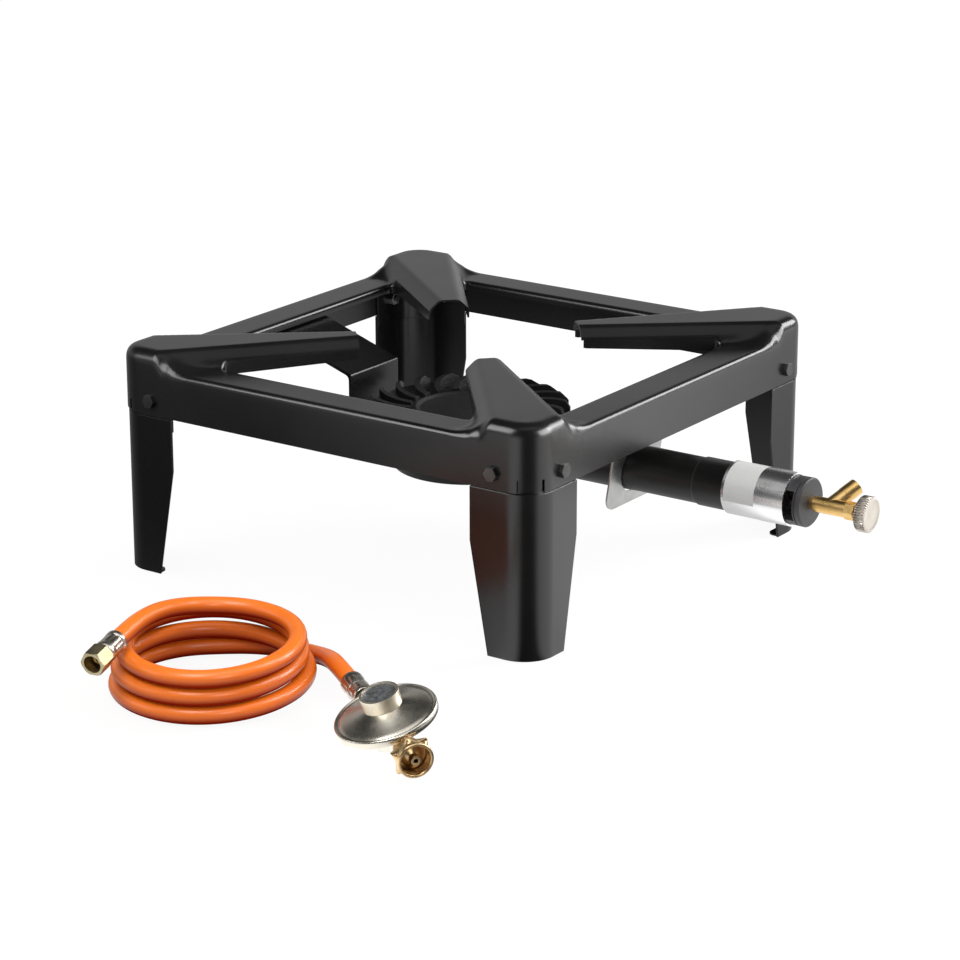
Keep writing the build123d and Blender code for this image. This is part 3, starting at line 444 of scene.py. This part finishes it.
# Pressed top sheet: arched pot arms, rolled edges, turned-down lips and skirt, in mm and degrees
topSheet = {
    "half": 200.0,
    "cornerR": 24.0,
    "band": 168.4,
    "bottom": 131.0,
    "thick": 1.5,
    "bandRoll": 4.7,
    "hipRoll": 11.0,
    "hipInset": 14.0,
    "lipEdge": 166.0,
    "lipRoll": 4.0,
    "lipLow": 161.4,
    "armTip": 89.5,
    "armRoot": 205.76,
    "tipHalf": 17.0,
    "armSpread": 12.0,
    "armTop": 182.7,
    "armLift": 4.6,
    "shoulder": 8.5,
    "flankSlope": 1.2,
    "armRoll": 0.9,
    "rootR": 5.0,
    "tipCut": 0.6,
    "tipCornerR": 2.6,
    "slitTop": 141.0,
    "slitTurn": 23.0,
    "slitHalf": 2.7,
    "raised": 132.2,
    "foldSoft": 3.0,
    "footSoft": 5.0,
    "hipSoft": 10.0,
    "hipStart": 172.0,
    "hipRun": 20.0,
    # How finely it is divided and how closely joined
    "grid": 2.2,
    "rowShift": 0.01,
    "skirtSteps": 72,
    "cornerSteps": 6,
    "lipSteps": 50,
    "rootSteps": 14,
    "armSteps": 56,
    "bandCuts": 11,
    "tipCuts": 16,
    "skirtRollRows": 8,
    "wallRows": 4,
    "lipRollRows": 5,
    "flangeRows": 3,
    "probe": 0.05,
    "nearly": 0.01,
    "weld": 0.02,
    "sliver": 0.01,
    "join": 0.0001,
    "sharpTurn": 50.0,
}


def smoothMax(a, b, k):
    h = max(k - abs(a - b), 0.0) / k
    return max(a, b) + h * h * k / 4


def armShare(s):
    t = topSheet
    return (s - t["armTip"]) / (t["armRoot"] - t["armTip"])


def armHalf(s):
    return topSheet["tipHalf"] + topSheet["armSpread"] * armShare(s)


def topHeight(x, y):
    # The arms' flanks are steep over the opening and run out softly towards the skirt
    t = topSheet
    s = (x + y) / math.sqrt(2)
    w = abs(y - x) / math.sqrt(2)
    outward = min(max((max(x, y) - t["hipStart"]) / t["hipRun"], 0.0), 1.0)
    d = w - (armHalf(s) - t["shoulder"])
    steep = (1 - outward) * t["flankSlope"] * smoothMax(0.0, d - t["shoulder"], t["foldSoft"] / 2)
    arm = t["armTop"] - smoothMax(0.0, d, t["foldSoft"]) - steep
    return smoothMax(t["band"], arm, t["footSoft"] + t["hipSoft"] * outward)


def onArm(s, w):
    return Vector(((s + w) / math.sqrt(2), (s - w) / math.sqrt(2)))


def outerColumns():
    # Half of one corner: foot point on the outline, inward normal, lowest height, open below or not
    t = topSheet
    bend = t["half"] - t["cornerR"]
    nearly = t["nearly"]
    steps = t["skirtSteps"]
    columns = []
    for i in range(steps):
        columns.append((Vector((t["half"], bend * i / steps)), Vector((-1.0, 0.0)), t["bottom"], False))
    middle = 45.0
    low = middle - t["slitTurn"] - t["slitHalf"]
    high = middle - t["slitTurn"] + t["slitHalf"]
    steps = t["cornerSteps"]
    turns = [low * i / steps for i in range(steps)] + [low, (low + high) / 2]
    turns += [high + (middle - high) * i / steps for i in range(steps + 1)]
    for turn in turns:
        out = Vector((math.cos(math.radians(turn)), math.sin(math.radians(turn))))
        foot = Vector((bend, bend)) + out * t["cornerR"]
        floor = t["raised"] if turn > high - nearly else t["bottom"]
        columns.append((foot, -out, floor, low - nearly < turn < high - nearly))
    return columns


def innerColumns():
    # Half of one corner: start of the roll, its step to the sheet's edge, the flange's low edge or None
    t = topSheet
    grow = t["armSpread"] / (t["armRoot"] - t["armTip"])
    tilt = math.hypot(1.0, grow)
    toArm = (onArm(grow, -1.0) - onArm(0.0, 0.0)) / tilt
    # Circle that touches the lip's edge and the arm's edge
    r = t["rootR"]
    cx = t["lipEdge"] - r
    level = t["tipHalf"] - grow * t["armTip"] + r * tilt
    cy = (cx * (1 - grow) - level * math.sqrt(2)) / (1 + grow)
    columns = []

    def add(edge, back, roll, low):
        columns.append((edge + back * roll, back * -roll, low))
    steps = t["lipSteps"]
    for i in range(steps):
        add(Vector((t["lipEdge"], cy * i / steps)), Vector((1.0, 0.0)), t["lipRoll"], t["lipLow"])
    steps = t["rootSteps"]
    last = math.atan2(toArm.y, toArm.x)
    for i in range(steps):
        turn = last * i / steps
        back = Vector((math.cos(turn), math.sin(turn)))
        roll = t["lipRoll"] + (t["armRoll"] - t["lipRoll"]) * i / steps
        add(Vector((cx, cy)) + back * r, back, roll, t["lipLow"])
    touch = Vector((cx, cy)) + toArm * r
    start = (touch.x + touch.y) / math.sqrt(2)
    steps = t["armSteps"]
    for i in range(steps + 1):
        s = start + (t["armTip"] - start) * i / steps
        low = t["lipLow"] + t["armLift"] * (1 - armShare(s))
        past = s - t["armTip"] - t["tipCut"]
        if past < 0:
            low = None
        elif past < t["tipCornerR"]:
            low += t["tipCornerR"] - math.sqrt(t["tipCornerR"] ** 2 - (t["tipCornerR"] - past) ** 2)
        add(onArm(s, armHalf(s)), toArm, t["armRoll"], low)
    return columns


def rollOver(p, step, count):
    # Over an edge on a quadratic curve that leaves along the sheet and ends upright
    z = topHeight(p.x, p.y)
    probe = topSheet["probe"]
    ahead = p - step * probe
    fall = max((topHeight(ahead.x, ahead.y) - z) / probe, 0.0)
    drop = math.hypot(step.length, fall)
    rows = []
    for k in range(count + 1):
        u = k / count
        near = (1 - u) ** 2
        at = p + step * (1 - near)
        rows.append((at.x, at.y, z - fall * (1 - near) - drop * u * u))
    return rows


def outerRows(foot, inward, floor):
    t = topSheet
    p = foot + inward * t["hipInset"]
    share = (topHeight(p.x, p.y) - t["band"]) / (t["armTop"] - t["band"])
    roll = t["bandRoll"] + (t["hipRoll"] - t["bandRoll"]) * min(max(share, 0.0), 1.0)
    rows = rollOver(foot + inward * roll, inward * -roll, t["skirtRollRows"])
    eave = rows[-1][2]
    steps = t["wallRows"]
    for k in range(1, steps + 1):
        rows.append((foot.x, foot.y, eave + (t["slitTop"] - eave) * k / steps))
    rows.append((foot.x, foot.y, floor))
    return rows


def innerRows(p, step, low):
    rows = rollOver(p, step, topSheet["lipRollRows"])
    x, y, end = rows[-1]
    floor = end if low is None else low
    steps = topSheet["flangeRows"]
    for k in range(1, steps + 1):
        rows.append((x, y, end + (floor - end) * k / steps))
    return rows


def besideLoop(pts, loop):
    # For each point: inside the loop or not, and its distance to the loop
    a = loop[None]
    b = np.roll(loop, -1, axis=0)[None]
    p = pts[:, None]
    crosses = (a[..., 1] > p[..., 1]) != (b[..., 1] > p[..., 1])
    rise = np.where(b[..., 1] == a[..., 1], 1.0, b[..., 1] - a[..., 1])
    right = p[..., 0] < (b[..., 0] - a[..., 0]) * (p[..., 1] - a[..., 1]) / rise + a[..., 0]
    inside = (crosses & right).sum(axis=1) % 2 == 1
    d = b - a
    u = np.clip(((p - a) * d).sum(-1) / np.maximum((d * d).sum(-1), 1e-9), 0, 1)
    gap = np.linalg.norm(p - a - u[..., None] * d, axis=-1).min(axis=1)
    return inside, gap


def insidePoints(loop):
    # Staggered grid points inside the loop and a little away from it
    step = topSheet["grid"]
    tall = step * math.sqrt(3) / 2
    found = []
    for row in range(int(topSheet["half"] / tall)):
        xs = np.arange(0.5 * step * (row % 2), topSheet["half"], step)
        pts = np.stack([xs, np.full_like(xs, tall * (row + topSheet["rowShift"]))], axis=1)
        inside, gap = besideLoop(pts, loop)
        found += [Vector(q) for q in pts[inside & (gap > 0.5 * step)]]
    return found


def flipped(column):
    return [(y, x, z) for x, y, z in column]


def flatStart(column):
    return Vector(column[0][:2])


def addStrip(verts, faces, columns, firsts, isGone):
    # Quads between neighbouring columns, each hung on a vertex of the flat sheet
    before = None
    for i, (column, first) in enumerate(zip(columns, firsts)):
        ids = [first] + [len(verts) + k for k in range(len(column) - 1)]
        verts += column[1:]
        if before:
            for k in range(len(ids) - 1):
                if not isGone(i, k):
                    faces.append([before[k], before[k + 1], ids[k + 1], ids[k]])
        before = ids


def noFlange(columns):
    # Faces below the roll are left out where the flange has no height
    end = topSheet["lipRollRows"]

    def isGone(i, k):
        if k < end:
            return False
        low = min(abs(c[end][2] - c[-1][2]) for c in (columns[i], columns[i - 1]))
        return low < topSheet["nearly"]
    return isGone


def quarterSheet():
    outer = [outerRows(*c[:3]) for c in outerColumns()]
    isOpen = [c[3] for c in outerColumns()]
    inner = [innerRows(*c) for c in innerColumns()]
    outer += [flipped(c) for c in reversed(outer[:-1])]
    isOpen += isOpen[-3::-1] + [False]
    backInner = [flipped(c) for c in inner]

    # Outline of the flat sheet: across the band, round the corner, back, and along the arm's two edges
    start, far = inner[0][0][0], outer[0][0][0]
    cuts = topSheet["bandCuts"]
    across = [Vector((start + (far - start) * k / cuts, 0.0)) for k in range(1, cuts)]
    tipHigh, tipLow = flatStart(backInner[-1]), flatStart(inner[-1])
    cuts = topSheet["tipCuts"]
    tip = [tipHigh.lerp(tipLow, k / cuts) for k in range(1, cuts)]
    outline = across + [flatStart(c) for c in outer] + [p.yx for p in reversed(across)]
    backAt = len(outline)
    outline += [flatStart(c) for c in backInner] + tip
    frontAt = len(outline)
    outline += [flatStart(c) for c in reversed(inner)]

    # Flat triangles inside the outline, lifted to the pressed height
    loop = np.array([tuple(p) for p in outline])
    points = outline + insidePoints(loop)
    rim = [list(range(len(outline)))]
    flatVerts, _, tris, origins, _, _ = delaunay_2d_cdt(points, [], rim, 1, topSheet["join"], True)
    at = {i: k for k, group in enumerate(origins) for i in group}
    verts = [(p.x, p.y, topHeight(p.x, p.y)) for p in flatVerts]
    middles = np.array([np.mean([tuple(flatVerts[i]) for i in f], axis=0) for f in tris])
    faces = [list(f) for f, kept in zip(tris, besideLoop(middles, loop)[0]) if kept]

    def inSlit(i, k):
        return k == len(outer[i]) - 2 and isOpen[i - 1]
    addStrip(verts, faces, outer, [at[len(across) + i] for i in range(len(outer))], inSlit)
    addStrip(verts, faces, backInner, [at[backAt + i] for i in range(len(backInner))], noFlange(backInner))
    last = frontAt + len(inner) - 1
    addStrip(verts, faces, inner, [at[last - i] for i in range(len(inner))], noFlange(inner))
    return verts, faces


def makeTopSheet():
    verts, faces = quarterSheet()
    work = bmesh.new()
    for turn in range(4):
        spin = Matrix.Rotation(math.pi / 2 * turn, 3, "Z")
        made = [work.verts.new(spin @ Vector(v) * mm) for v in verts]
        for f in faces:
            work.faces.new([made[i] for i in f])
    bmesh.ops.remove_doubles(work, verts=work.verts, dist=topSheet["weld"] * mm)
    bmesh.ops.dissolve_degenerate(work, edges=work.edges, dist=topSheet["sliver"] * mm)
    bmesh.ops.recalc_face_normals(work, faces=work.faces)
    if sum(f.normal.z * f.calc_area() for f in work.faces) < 0:
        bmesh.ops.reverse_faces(work, faces=work.faces)
    rough = bpy.data.meshes.new("roughSheet")
    work.to_mesh(rough)
    work.free()
    piece = bpy.data.objects.new("topSheet", rough)
    bpy.context.scene.collection.objects.link(piece)
    solid = piece.modifiers.new("thickness", "SOLIDIFY")
    solid.thickness = topSheet["thick"] * mm
    solid.offset = -1.0
    bpy.context.view_layer.update()
    graph = bpy.context.evaluated_depsgraph_get()
    mesh = bpy.data.meshes.new_from_object(piece.evaluated_get(graph))
    piece.modifiers.clear()
    piece.data = mesh
    mesh.name = "topSheet"
    mesh.shade_smooth()
    mesh.set_sharp_from_angle(angle=math.radians(topSheet["sharpTurn"]))
    mesh.materials.clear()
    mesh.materials.append(standPaint)
    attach(piece, "stove")
    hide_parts("frame")


makeTopSheet()
print("top sheet made")


# Pieces made of rings of points, in millimetres
ringMesh = {"weld": 0.003, "sliver": 0.002, "sharpTurn": 40.0}
alongX = Matrix.Rotation(math.pi / 2, 4, "Y")


def ringFaces(rings, sides, closed):
    faces = []
    for i in range(rings if closed else rings - 1):
        j = (i + 1) % rings
        for k in range(sides):
            n = (k + 1) % sides
            faces.append((i * sides + k, i * sides + n, j * sides + n, j * sides + k))
    return faces


def ringPiece(name, verts, faces, material):
    mesh = bpy.data.meshes.new(name)
    mesh.from_pydata(verts, [], faces)
    work = bmesh.new()
    work.from_mesh(mesh)
    bmesh.ops.remove_doubles(work, verts=work.verts, dist=ringMesh["weld"] * mm)
    bmesh.ops.dissolve_degenerate(work, edges=work.edges, dist=ringMesh["sliver"] * mm)
    bmesh.ops.recalc_face_normals(work, faces=work.faces)
    work.to_mesh(mesh)
    work.free()
    mesh.shade_smooth()
    mesh.set_sharp_from_angle(angle=math.radians(ringMesh["sharpTurn"]))
    piece = bpy.data.objects.new(name, mesh)
    bpy.context.scene.collection.objects.link(piece)
    mesh.materials.append(material)
    return piece


def turnedPiece(name, look, place, ripple=None):
    # Rows give radius and height, and a share of the ripple where the piece isn't round
    steps = look["steps"]
    verts = []
    for r, h, *share in look["rows"]:
        for k in range(steps):
            turn = 2 * math.pi * k / steps
            wide = r + share[0] * ripple(turn) if share else r
            verts.append(place @ Vector((wide * math.cos(turn), wide * math.sin(turn), h)) * mm)
    piece = ringPiece(name, verts, ringFaces(len(look["rows"]), steps, True), look["material"])
    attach(piece, look["body"])
    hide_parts(look["node"])


# Regulator cover: shallow cone with a rolled bead at its rim
cover = {
    "rows": [(13.0, 20.3), (13.9, 20.7), (15.0, 20.2), (20.0, 18.2), (26.0, 16.2), (30.5, 14.9), (32.6, 14.2),
             (33.4, 13.6), (34.0, 13.3), (34.5, 13.4), (35.0, 13.9), (35.6, 14.2), (36.2, 14.0), (36.7, 13.4),
             (37.0, 12.4), (37.0, 10.2), (36.8, 9.2), (36.4, 8.6), (36.15, 8.5), (36.15, 11.3), (30.0, 11.5),
             (13.0, 19.0)],
    "steps": 128,
    "material": regulatorZinc,
    "body": "stove",
    "slot": "regulator_zinc",
    "node": "regulator_cover",
}
turnedPiece("regulatorCover", cover, regulatorMatrix())

# Knob: ribbed round its side, with a face that lies a little below its rim
knob = {
    "rows": [(2.06, 360.5), (12.6, 360.5), (13.4, 360.8, 0.7), (14.0, 361.4, 1), (14.0, 368.3, 1),
             (13.8, 368.8, 1), (13.3, 369.2, 0.6), (12.4, 369.5), (11.6, 369.5), (11.0, 369.2), (10.2, 369.0),
             (4.0, 369.3), (0.0, 369.4), (0.0, 367.3), (2.06, 367.3)],
    "axisHeight": 95.5,
    "ribs": 44,
    "ribDepth": 1.0,
    "ribRound": 0.7,
    "steps": 320,
    "material": knobNickel,
    "body": "knob_body",
    "slot": "knob_nickel",
    "node": "knob",
}


def ribs(turn):
    return -knob["ribDepth"] * (0.5 - 0.5 * math.cos(knob["ribs"] * turn)) ** knob["ribRound"]


turnedPiece("knurledKnob", knob, Matrix.Translation((0, 0, knob["axisHeight"])) @ alongX, ribs)

# Handwheel: six pointed lobes behind a round mouth with a thread inside
wheel = {
    "outside": [(5.85, 37.8), (8.6, 37.8), (9.2, 38.2), (9.4, 39.6), (10.6, 40.4, 0.5), (11.4, 40.9, 0.9),
                (11.9, 41.6, 1), (11.9, 45.6, 1), (11.9, 46.6, 0.75), (12.0, 47.6, 0.3), (12.5, 48.4),
                (12.9, 49.2), (13.0, 51.0), (12.8, 51.9), (12.3, 52.4), (11.7, 52.5), (11.0, 52.2),
                (10.6, 51.6), (10.45, 50.9)],
    "threadR": 10.45,
    "threadDepth": 0.4,
    "threadStart": 50.2,
    "threadStep": 0.6,
    "threadRows": 12,
    "inside": [(10.45, 42.6), (10.45, 41.0), (5.85, 41.0)],
    "lobePairs": 3,
    "lobeReach": 3.6,
    "lobePoint": 1.3,
    "steps": 192,
    "material": wheelBrass,
    "body": "wheel",
    "slot": "brass",
    "node": "handwheel",
}


def threadRow(k):
    deep = wheel["threadDepth"] if k % 2 else 0.0
    return wheel["threadR"] + deep, wheel["threadStart"] - wheel["threadStep"] * k


def lobes(turn):
    return wheel["lobeReach"] * (1 - abs(math.sin(wheel["lobePairs"] * turn))) ** wheel["lobePoint"]


wheel["rows"] = wheel["outside"] + [threadRow(k) for k in range(wheel["threadRows"])] + wheel["inside"]
turnedPiece("starWheel", wheel, regulatorMatrix() @ alongX, lobes)

# Ferrules at the hose's two ends: crimped between raised beads
crimp = {"count": 8, "depth": 0.55, "power": 2}
regulatorEnd = {
    "rows": [(6.66, -83.0), (8.2, -83.0), (8.6, -82.5), (8.6, -79.4), (8.2, -78.4, 0.4), (8.3, -77.4, 1),
             (8.3, -71.0, 1), (8.0, -70.2, 0.5), (8.5, -69.2), (8.5, -67.6), (8.0, -66.6, 0.5),
             (8.3, -65.6, 1), (8.3, -59.6, 1), (8.2, -58.8, 0.4), (8.6, -57.8), (8.6, -54.6), (8.1, -54.0),
             (3.05, -54.0), (3.05, -60.0), (6.66, -60.0)],
    "steps": 96,
    "material": ferruleNickel,
    "body": "stove",
    "slot": "ferrule_nickel",
    "node": "ferrule_regulator_end",
}
stoveEnd = {
    "rows": [(6.66, -0.5), (8.0, -0.5), (8.3, 0.0), (8.3, 3.2), (7.8, 4.0, 0.4), (8.0, 5.0, 1),
             (8.0, 13.0, 1), (7.8, 14.0, 0.4), (8.3, 15.0), (8.3, 19.4), (7.9, 20.0), (3.05, 20.0),
             (3.05, 6.0), (6.66, 6.0)],
    "steps": 96,
    "material": ferruleNickel,
    "body": "stove",
    "slot": "ferrule_nickel",
    "node": "ferrule_stove_end",
}


def crimps(turn):
    return -crimp["depth"] * (0.5 - 0.5 * math.cos(crimp["count"] * turn)) ** crimp["power"]


def hoseEndMatrix():
    place = coilMatrix()
    aim = place.to_3x3() @ Vector(hose["endAim"]).normalized()
    end = place @ Vector(hose["end"])
    return Matrix.Translation(end) @ aim.to_track_quat("Z", "Y").to_matrix().to_4x4()


turnedPiece("regulatorFerrule", regulatorEnd, regulatorMatrix() @ alongX, crimps)
turnedPiece("stoveFerrule", stoveEnd, hoseEndMatrix(), crimps)
print("turned pieces made")


# Spring inside the regulator, wound at one fixed length; the real one shortens towards its adjuster as the
# diaphragm lifts
spring = {
    "radius": 8.0,
    "wire": 1.2,
    "turns": 4,
    "low": 12.85,
    "high": 25.35,
    "lift": 0.8,
    "steps": 160,
    "sides": 12,
}


def makeSpring():
    place = regulatorMatrix()
    half = spring["wire"] / 2
    steps, sides = spring["steps"], spring["sides"]
    tall = spring["high"] - spring["low"]
    verts = []
    for i in range(steps + 1):
        turn = 2 * math.pi * spring["turns"] * i / steps
        middle = spring["low"] + half + (tall - spring["wire"]) * i / steps
        for k in range(sides):
            side = 2 * math.pi * k / sides
            r = spring["radius"] + half * math.cos(side)
            p = Vector((r * math.cos(turn), r * math.sin(turn), middle + half * math.sin(side)))
            verts.append(place @ p * mm)
    ends = [tuple(reversed(range(sides))), tuple(range(steps * sides, (steps + 1) * sides))]
    piece = ringPiece("regulatorSpring", verts, ends + ringFaces(steps + 1, sides, False), zincSteel)
    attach(piece, "stove")
    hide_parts("regulator_spring")
    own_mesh(piece)


makeSpring()
print("spring wound")


# Floor, world and lamps. Mirrored rays see a studio with light walls low down, except on the camera's side,
# and a light card high above that side. The rest is dark
studio = {
    "floorTone": 0.86,
    "floorRough": 0.9,
    "floorSize": 30.0,
    "floorDrop": 0.0002,
    "glow": 0.84,
    "glowTone": 1.1,
    "skyLight": 0.6,
    "background": 1.0,
    "wallTone": 0.46,
    "corner": (0.176, -0.176, 0.0),
}
# Tones by height, from 0 at the horizon to 1 overhead, and by turn, in degrees from +X
wallHeights = [(0.0, 1.0), (0.375, 1.0), (0.48, 0.07), (1.0, 0.05)]
wallTurns = [(-180, 1.0), (-170, 1.0), (-125, 0.6), (-95, 0.3), (-80, 0.05), (0, 0.05), (12, 0.8), (60, 1.0),
             (180, 1.0)]
cardHeights = [(0.8, 0.0), (0.87, 1.0), (1.0, 1.0)]
cardTurns = [(-180, 0.0), (-110, 0.0), (-90, 1.0), (30, 1.0), (55, 0.0), (180, 0.0)]
# Painted reflection: tones the floor glows with for mirrored rays only, by turn round the stand's near corner
floorSheenTurns = [(-180, 0.2), (-156, 0.05), (-146, 0.06), (-138, 0.2), (-128, 0.9), (-100, 1.5), (-80, 1.6),
              (-64, 0.03), (-24, 0.03), (-6, 1.4), (50, 1.4), (57, 1.9), (64, 1.7), (70, 0.8), (120, 0.6),
              (180, 0.2)]


def turnRamp(tree, place, stops):
    spin = tree.nodes.new("ShaderNodeTexGradient")
    spin.gradient_type = "RADIAL"
    tree.links.new(place, spin.inputs["Vector"])
    return rampOf(tree, spin.outputs["Fac"], [(turn / 360 + 0.5, tone) for turn, tone in stops])


def seenShare(tree, path, low, high):
    # High where the camera looks straight or through something clear, low for all other rays
    share = tree.nodes.new("ShaderNodeMapRange")
    share.inputs["To Min"].default_value = low
    share.inputs["To Max"].default_value = high
    direct = mathOf(tree, "MAXIMUM", path.outputs["Is Camera Ray"], path.outputs["Is Transmission Ray"])
    tree.links.new(direct, share.inputs["Value"])
    return share.outputs["Result"]


def makeFloor():
    half = studio["floorSize"] / 2
    mesh = bpy.data.meshes.new("paleFloor")
    corners = [(-half, -half, 0), (half, -half, 0), (half, half, 0), (-half, half, 0)]
    mesh.from_pydata(corners, [], [(0, 1, 2, 3)])
    floor = bpy.data.objects.new("paleFloor", mesh)
    floor.location.z = -studio["floorDrop"]
    bpy.context.scene.collection.objects.link(floor)
    mat, tree, shader = startMaterial("paleFloor")
    tone = studio["floorTone"]
    shader.inputs["Base Color"].default_value = (tone, tone, tone, 1.0)
    shader.inputs["Roughness"].default_value = studio["floorRough"]
    shader.inputs["Specular IOR Level"].default_value = 0.0
    path = tree.nodes.new("ShaderNodeLightPath")
    glow = tree.nodes.new("ShaderNodeEmission")
    glow.inputs["Strength"].default_value = studio["glowTone"]
    seen = mixOf(tree, seenShare(tree, path, 0.0, studio["glow"]), shader.outputs[0], glow.outputs[0])
    # Painted reflection: mirrored rays see the floor glow with a tone by the direction from the stand's near
    # corner
    place = tree.nodes.new("ShaderNodeTexCoord")
    fromCorner = tree.nodes.new("ShaderNodeVectorMath")
    fromCorner.operation = "SUBTRACT"
    fromCorner.inputs[1].default_value = studio["corner"]
    tree.links.new(place.outputs["Object"], fromCorner.inputs[0])
    paintedSheen = tree.nodes.new("ShaderNodeEmission")
    tree.links.new(turnRamp(tree, fromCorner.outputs[0], floorSheenTurns), paintedSheen.inputs["Color"])
    mixed = mixOf(tree, path.outputs["Is Glossy Ray"], seen, paintedSheen.outputs[0])
    tree.links.new(mixed, tree.nodes["Material Output"].inputs["Surface"])
    mesh.materials.append(mat)


def makeWorld():
    world = bpy.data.worlds.new("studioWorld")
    world.use_nodes = True
    tree = world.node_tree
    path = tree.nodes.new("ShaderNodeLightPath")
    place = tree.nodes.new("ShaderNodeTexCoord")
    split = tree.nodes.new("ShaderNodeSeparateXYZ")
    facing = place.outputs["Generated"]
    tree.links.new(facing, split.inputs[0])
    height = split.outputs["Z"]
    low = mathOf(tree, "MULTIPLY", rampOf(tree, height, wallHeights), turnRamp(tree, facing, wallTurns))
    card = mathOf(tree, "MULTIPLY", rampOf(tree, height, cardHeights), turnRamp(tree, facing, cardTurns))
    walls = tree.nodes.new("ShaderNodeBackground")
    walls.inputs["Strength"].default_value = studio["wallTone"]
    tree.links.new(mathOf(tree, "ADD", low, card), walls.inputs["Color"])
    soft = tree.nodes["Background"]
    soft.inputs["Color"].default_value = (1.0, 1.0, 1.0, 1.0)
    strength = seenShare(tree, path, studio["skyLight"], studio["background"])
    tree.links.new(strength, soft.inputs["Strength"])
    mixed = mixOf(tree, path.outputs["Is Glossy Ray"], soft.outputs[0], walls.outputs[0])
    tree.links.new(mixed, tree.nodes["World Output"].inputs["Surface"])
    bpy.context.scene.world = world


lamps = {
    "rightBox": {"place": (1.17, 1.67, 0.99), "size": (1.6, 0.78), "power": 38.0},
    "leftBox": {"place": (-1.22, -1.457, 0.79), "size": (1.0, 0.6), "power": 3.0},
    "standRight": {"place": (1.234, 0.293, 0.55), "size": (1.2, 0.75), "power": 32.0, "lights": "corner"},
    "standLeft": {"place": (-0.27, -0.79, 0.62), "size": (0.6, 0.55), "power": 6.5, "lights": "corner"},
    "fittingsTop": {"place": (0.35, -0.5, 1.5), "size": (1.5, 1.2), "power": 5.0, "lights": "fittings"},
    "fittingsFront": {"place": (1.6, -1.5, 1.1), "size": (0.7, 0.7), "power": 6.5, "lights": "fittings"},
    "fittingsLeft": {"place": (0.07, -1.07, 1.22), "size": (0.5, 0.5), "power": 6.0, "lights": "fittings"},
    "fittingsRight": {"place": (0.94, 0.18, 1.06), "size": (0.5, 0.5), "power": 5.0, "lights": "fittings"},
}
lampAims = {"stand": (0.0, 0.0, 0.12), "corner": (0.18, -0.18, 0.17), "fittings": (0.2, -0.3, 0.05)}
darkSlots = ("stand_paint", "cast_black")
brightPieces = ("gasHose", "regulatorCover", "knurledKnob", "starWheel", "regulatorFerrule", "stoveFerrule")


def litGroups():
    # The stand's near corner and the bright fittings each get soft boxes of their own
    groups = {name: bpy.data.collections.new(name + "Lit") for name in ("corner", "fittings")}
    slots = {s["node"]: s["material_slot"] for s in frame["record"]["subparts"]}
    for name, piece in nodes.items():
        if slots[name] not in darkSlots:
            groups["fittings"].objects.link(piece)
    groups["corner"].objects.link(bpy.data.objects["topSheet"])
    groups["corner"].objects.link(nodes["leg_front_left"])
    for name in brightPieces:
        groups["fittings"].objects.link(bpy.data.objects[name])
    return groups


def makeLamps():
    groups = litGroups()
    for name, look in lamps.items():
        data = bpy.data.lights.new(name, "AREA")
        data.shape = "RECTANGLE"
        data.size, data.size_y = look["size"]
        data.energy = look["power"]
        lamp = bpy.data.objects.new(name, data)
        lamp.location = look["place"]
        aim = Vector(lampAims[look.get("lights", "stand")]) - Vector(look["place"])
        lamp.rotation_euler = aim.to_track_quat("-Z", "Y").to_euler()
        lamp.visible_camera = False
        if "lights" in look:
            lamp.light_linking.receiver_collection = groups[look["lights"]]
        bpy.context.scene.collection.objects.link(lamp)


makeFloor()
makeWorld()
makeLamps()
bpy.context.scene.view_settings.view_transform = "Standard"
print("studio ready")
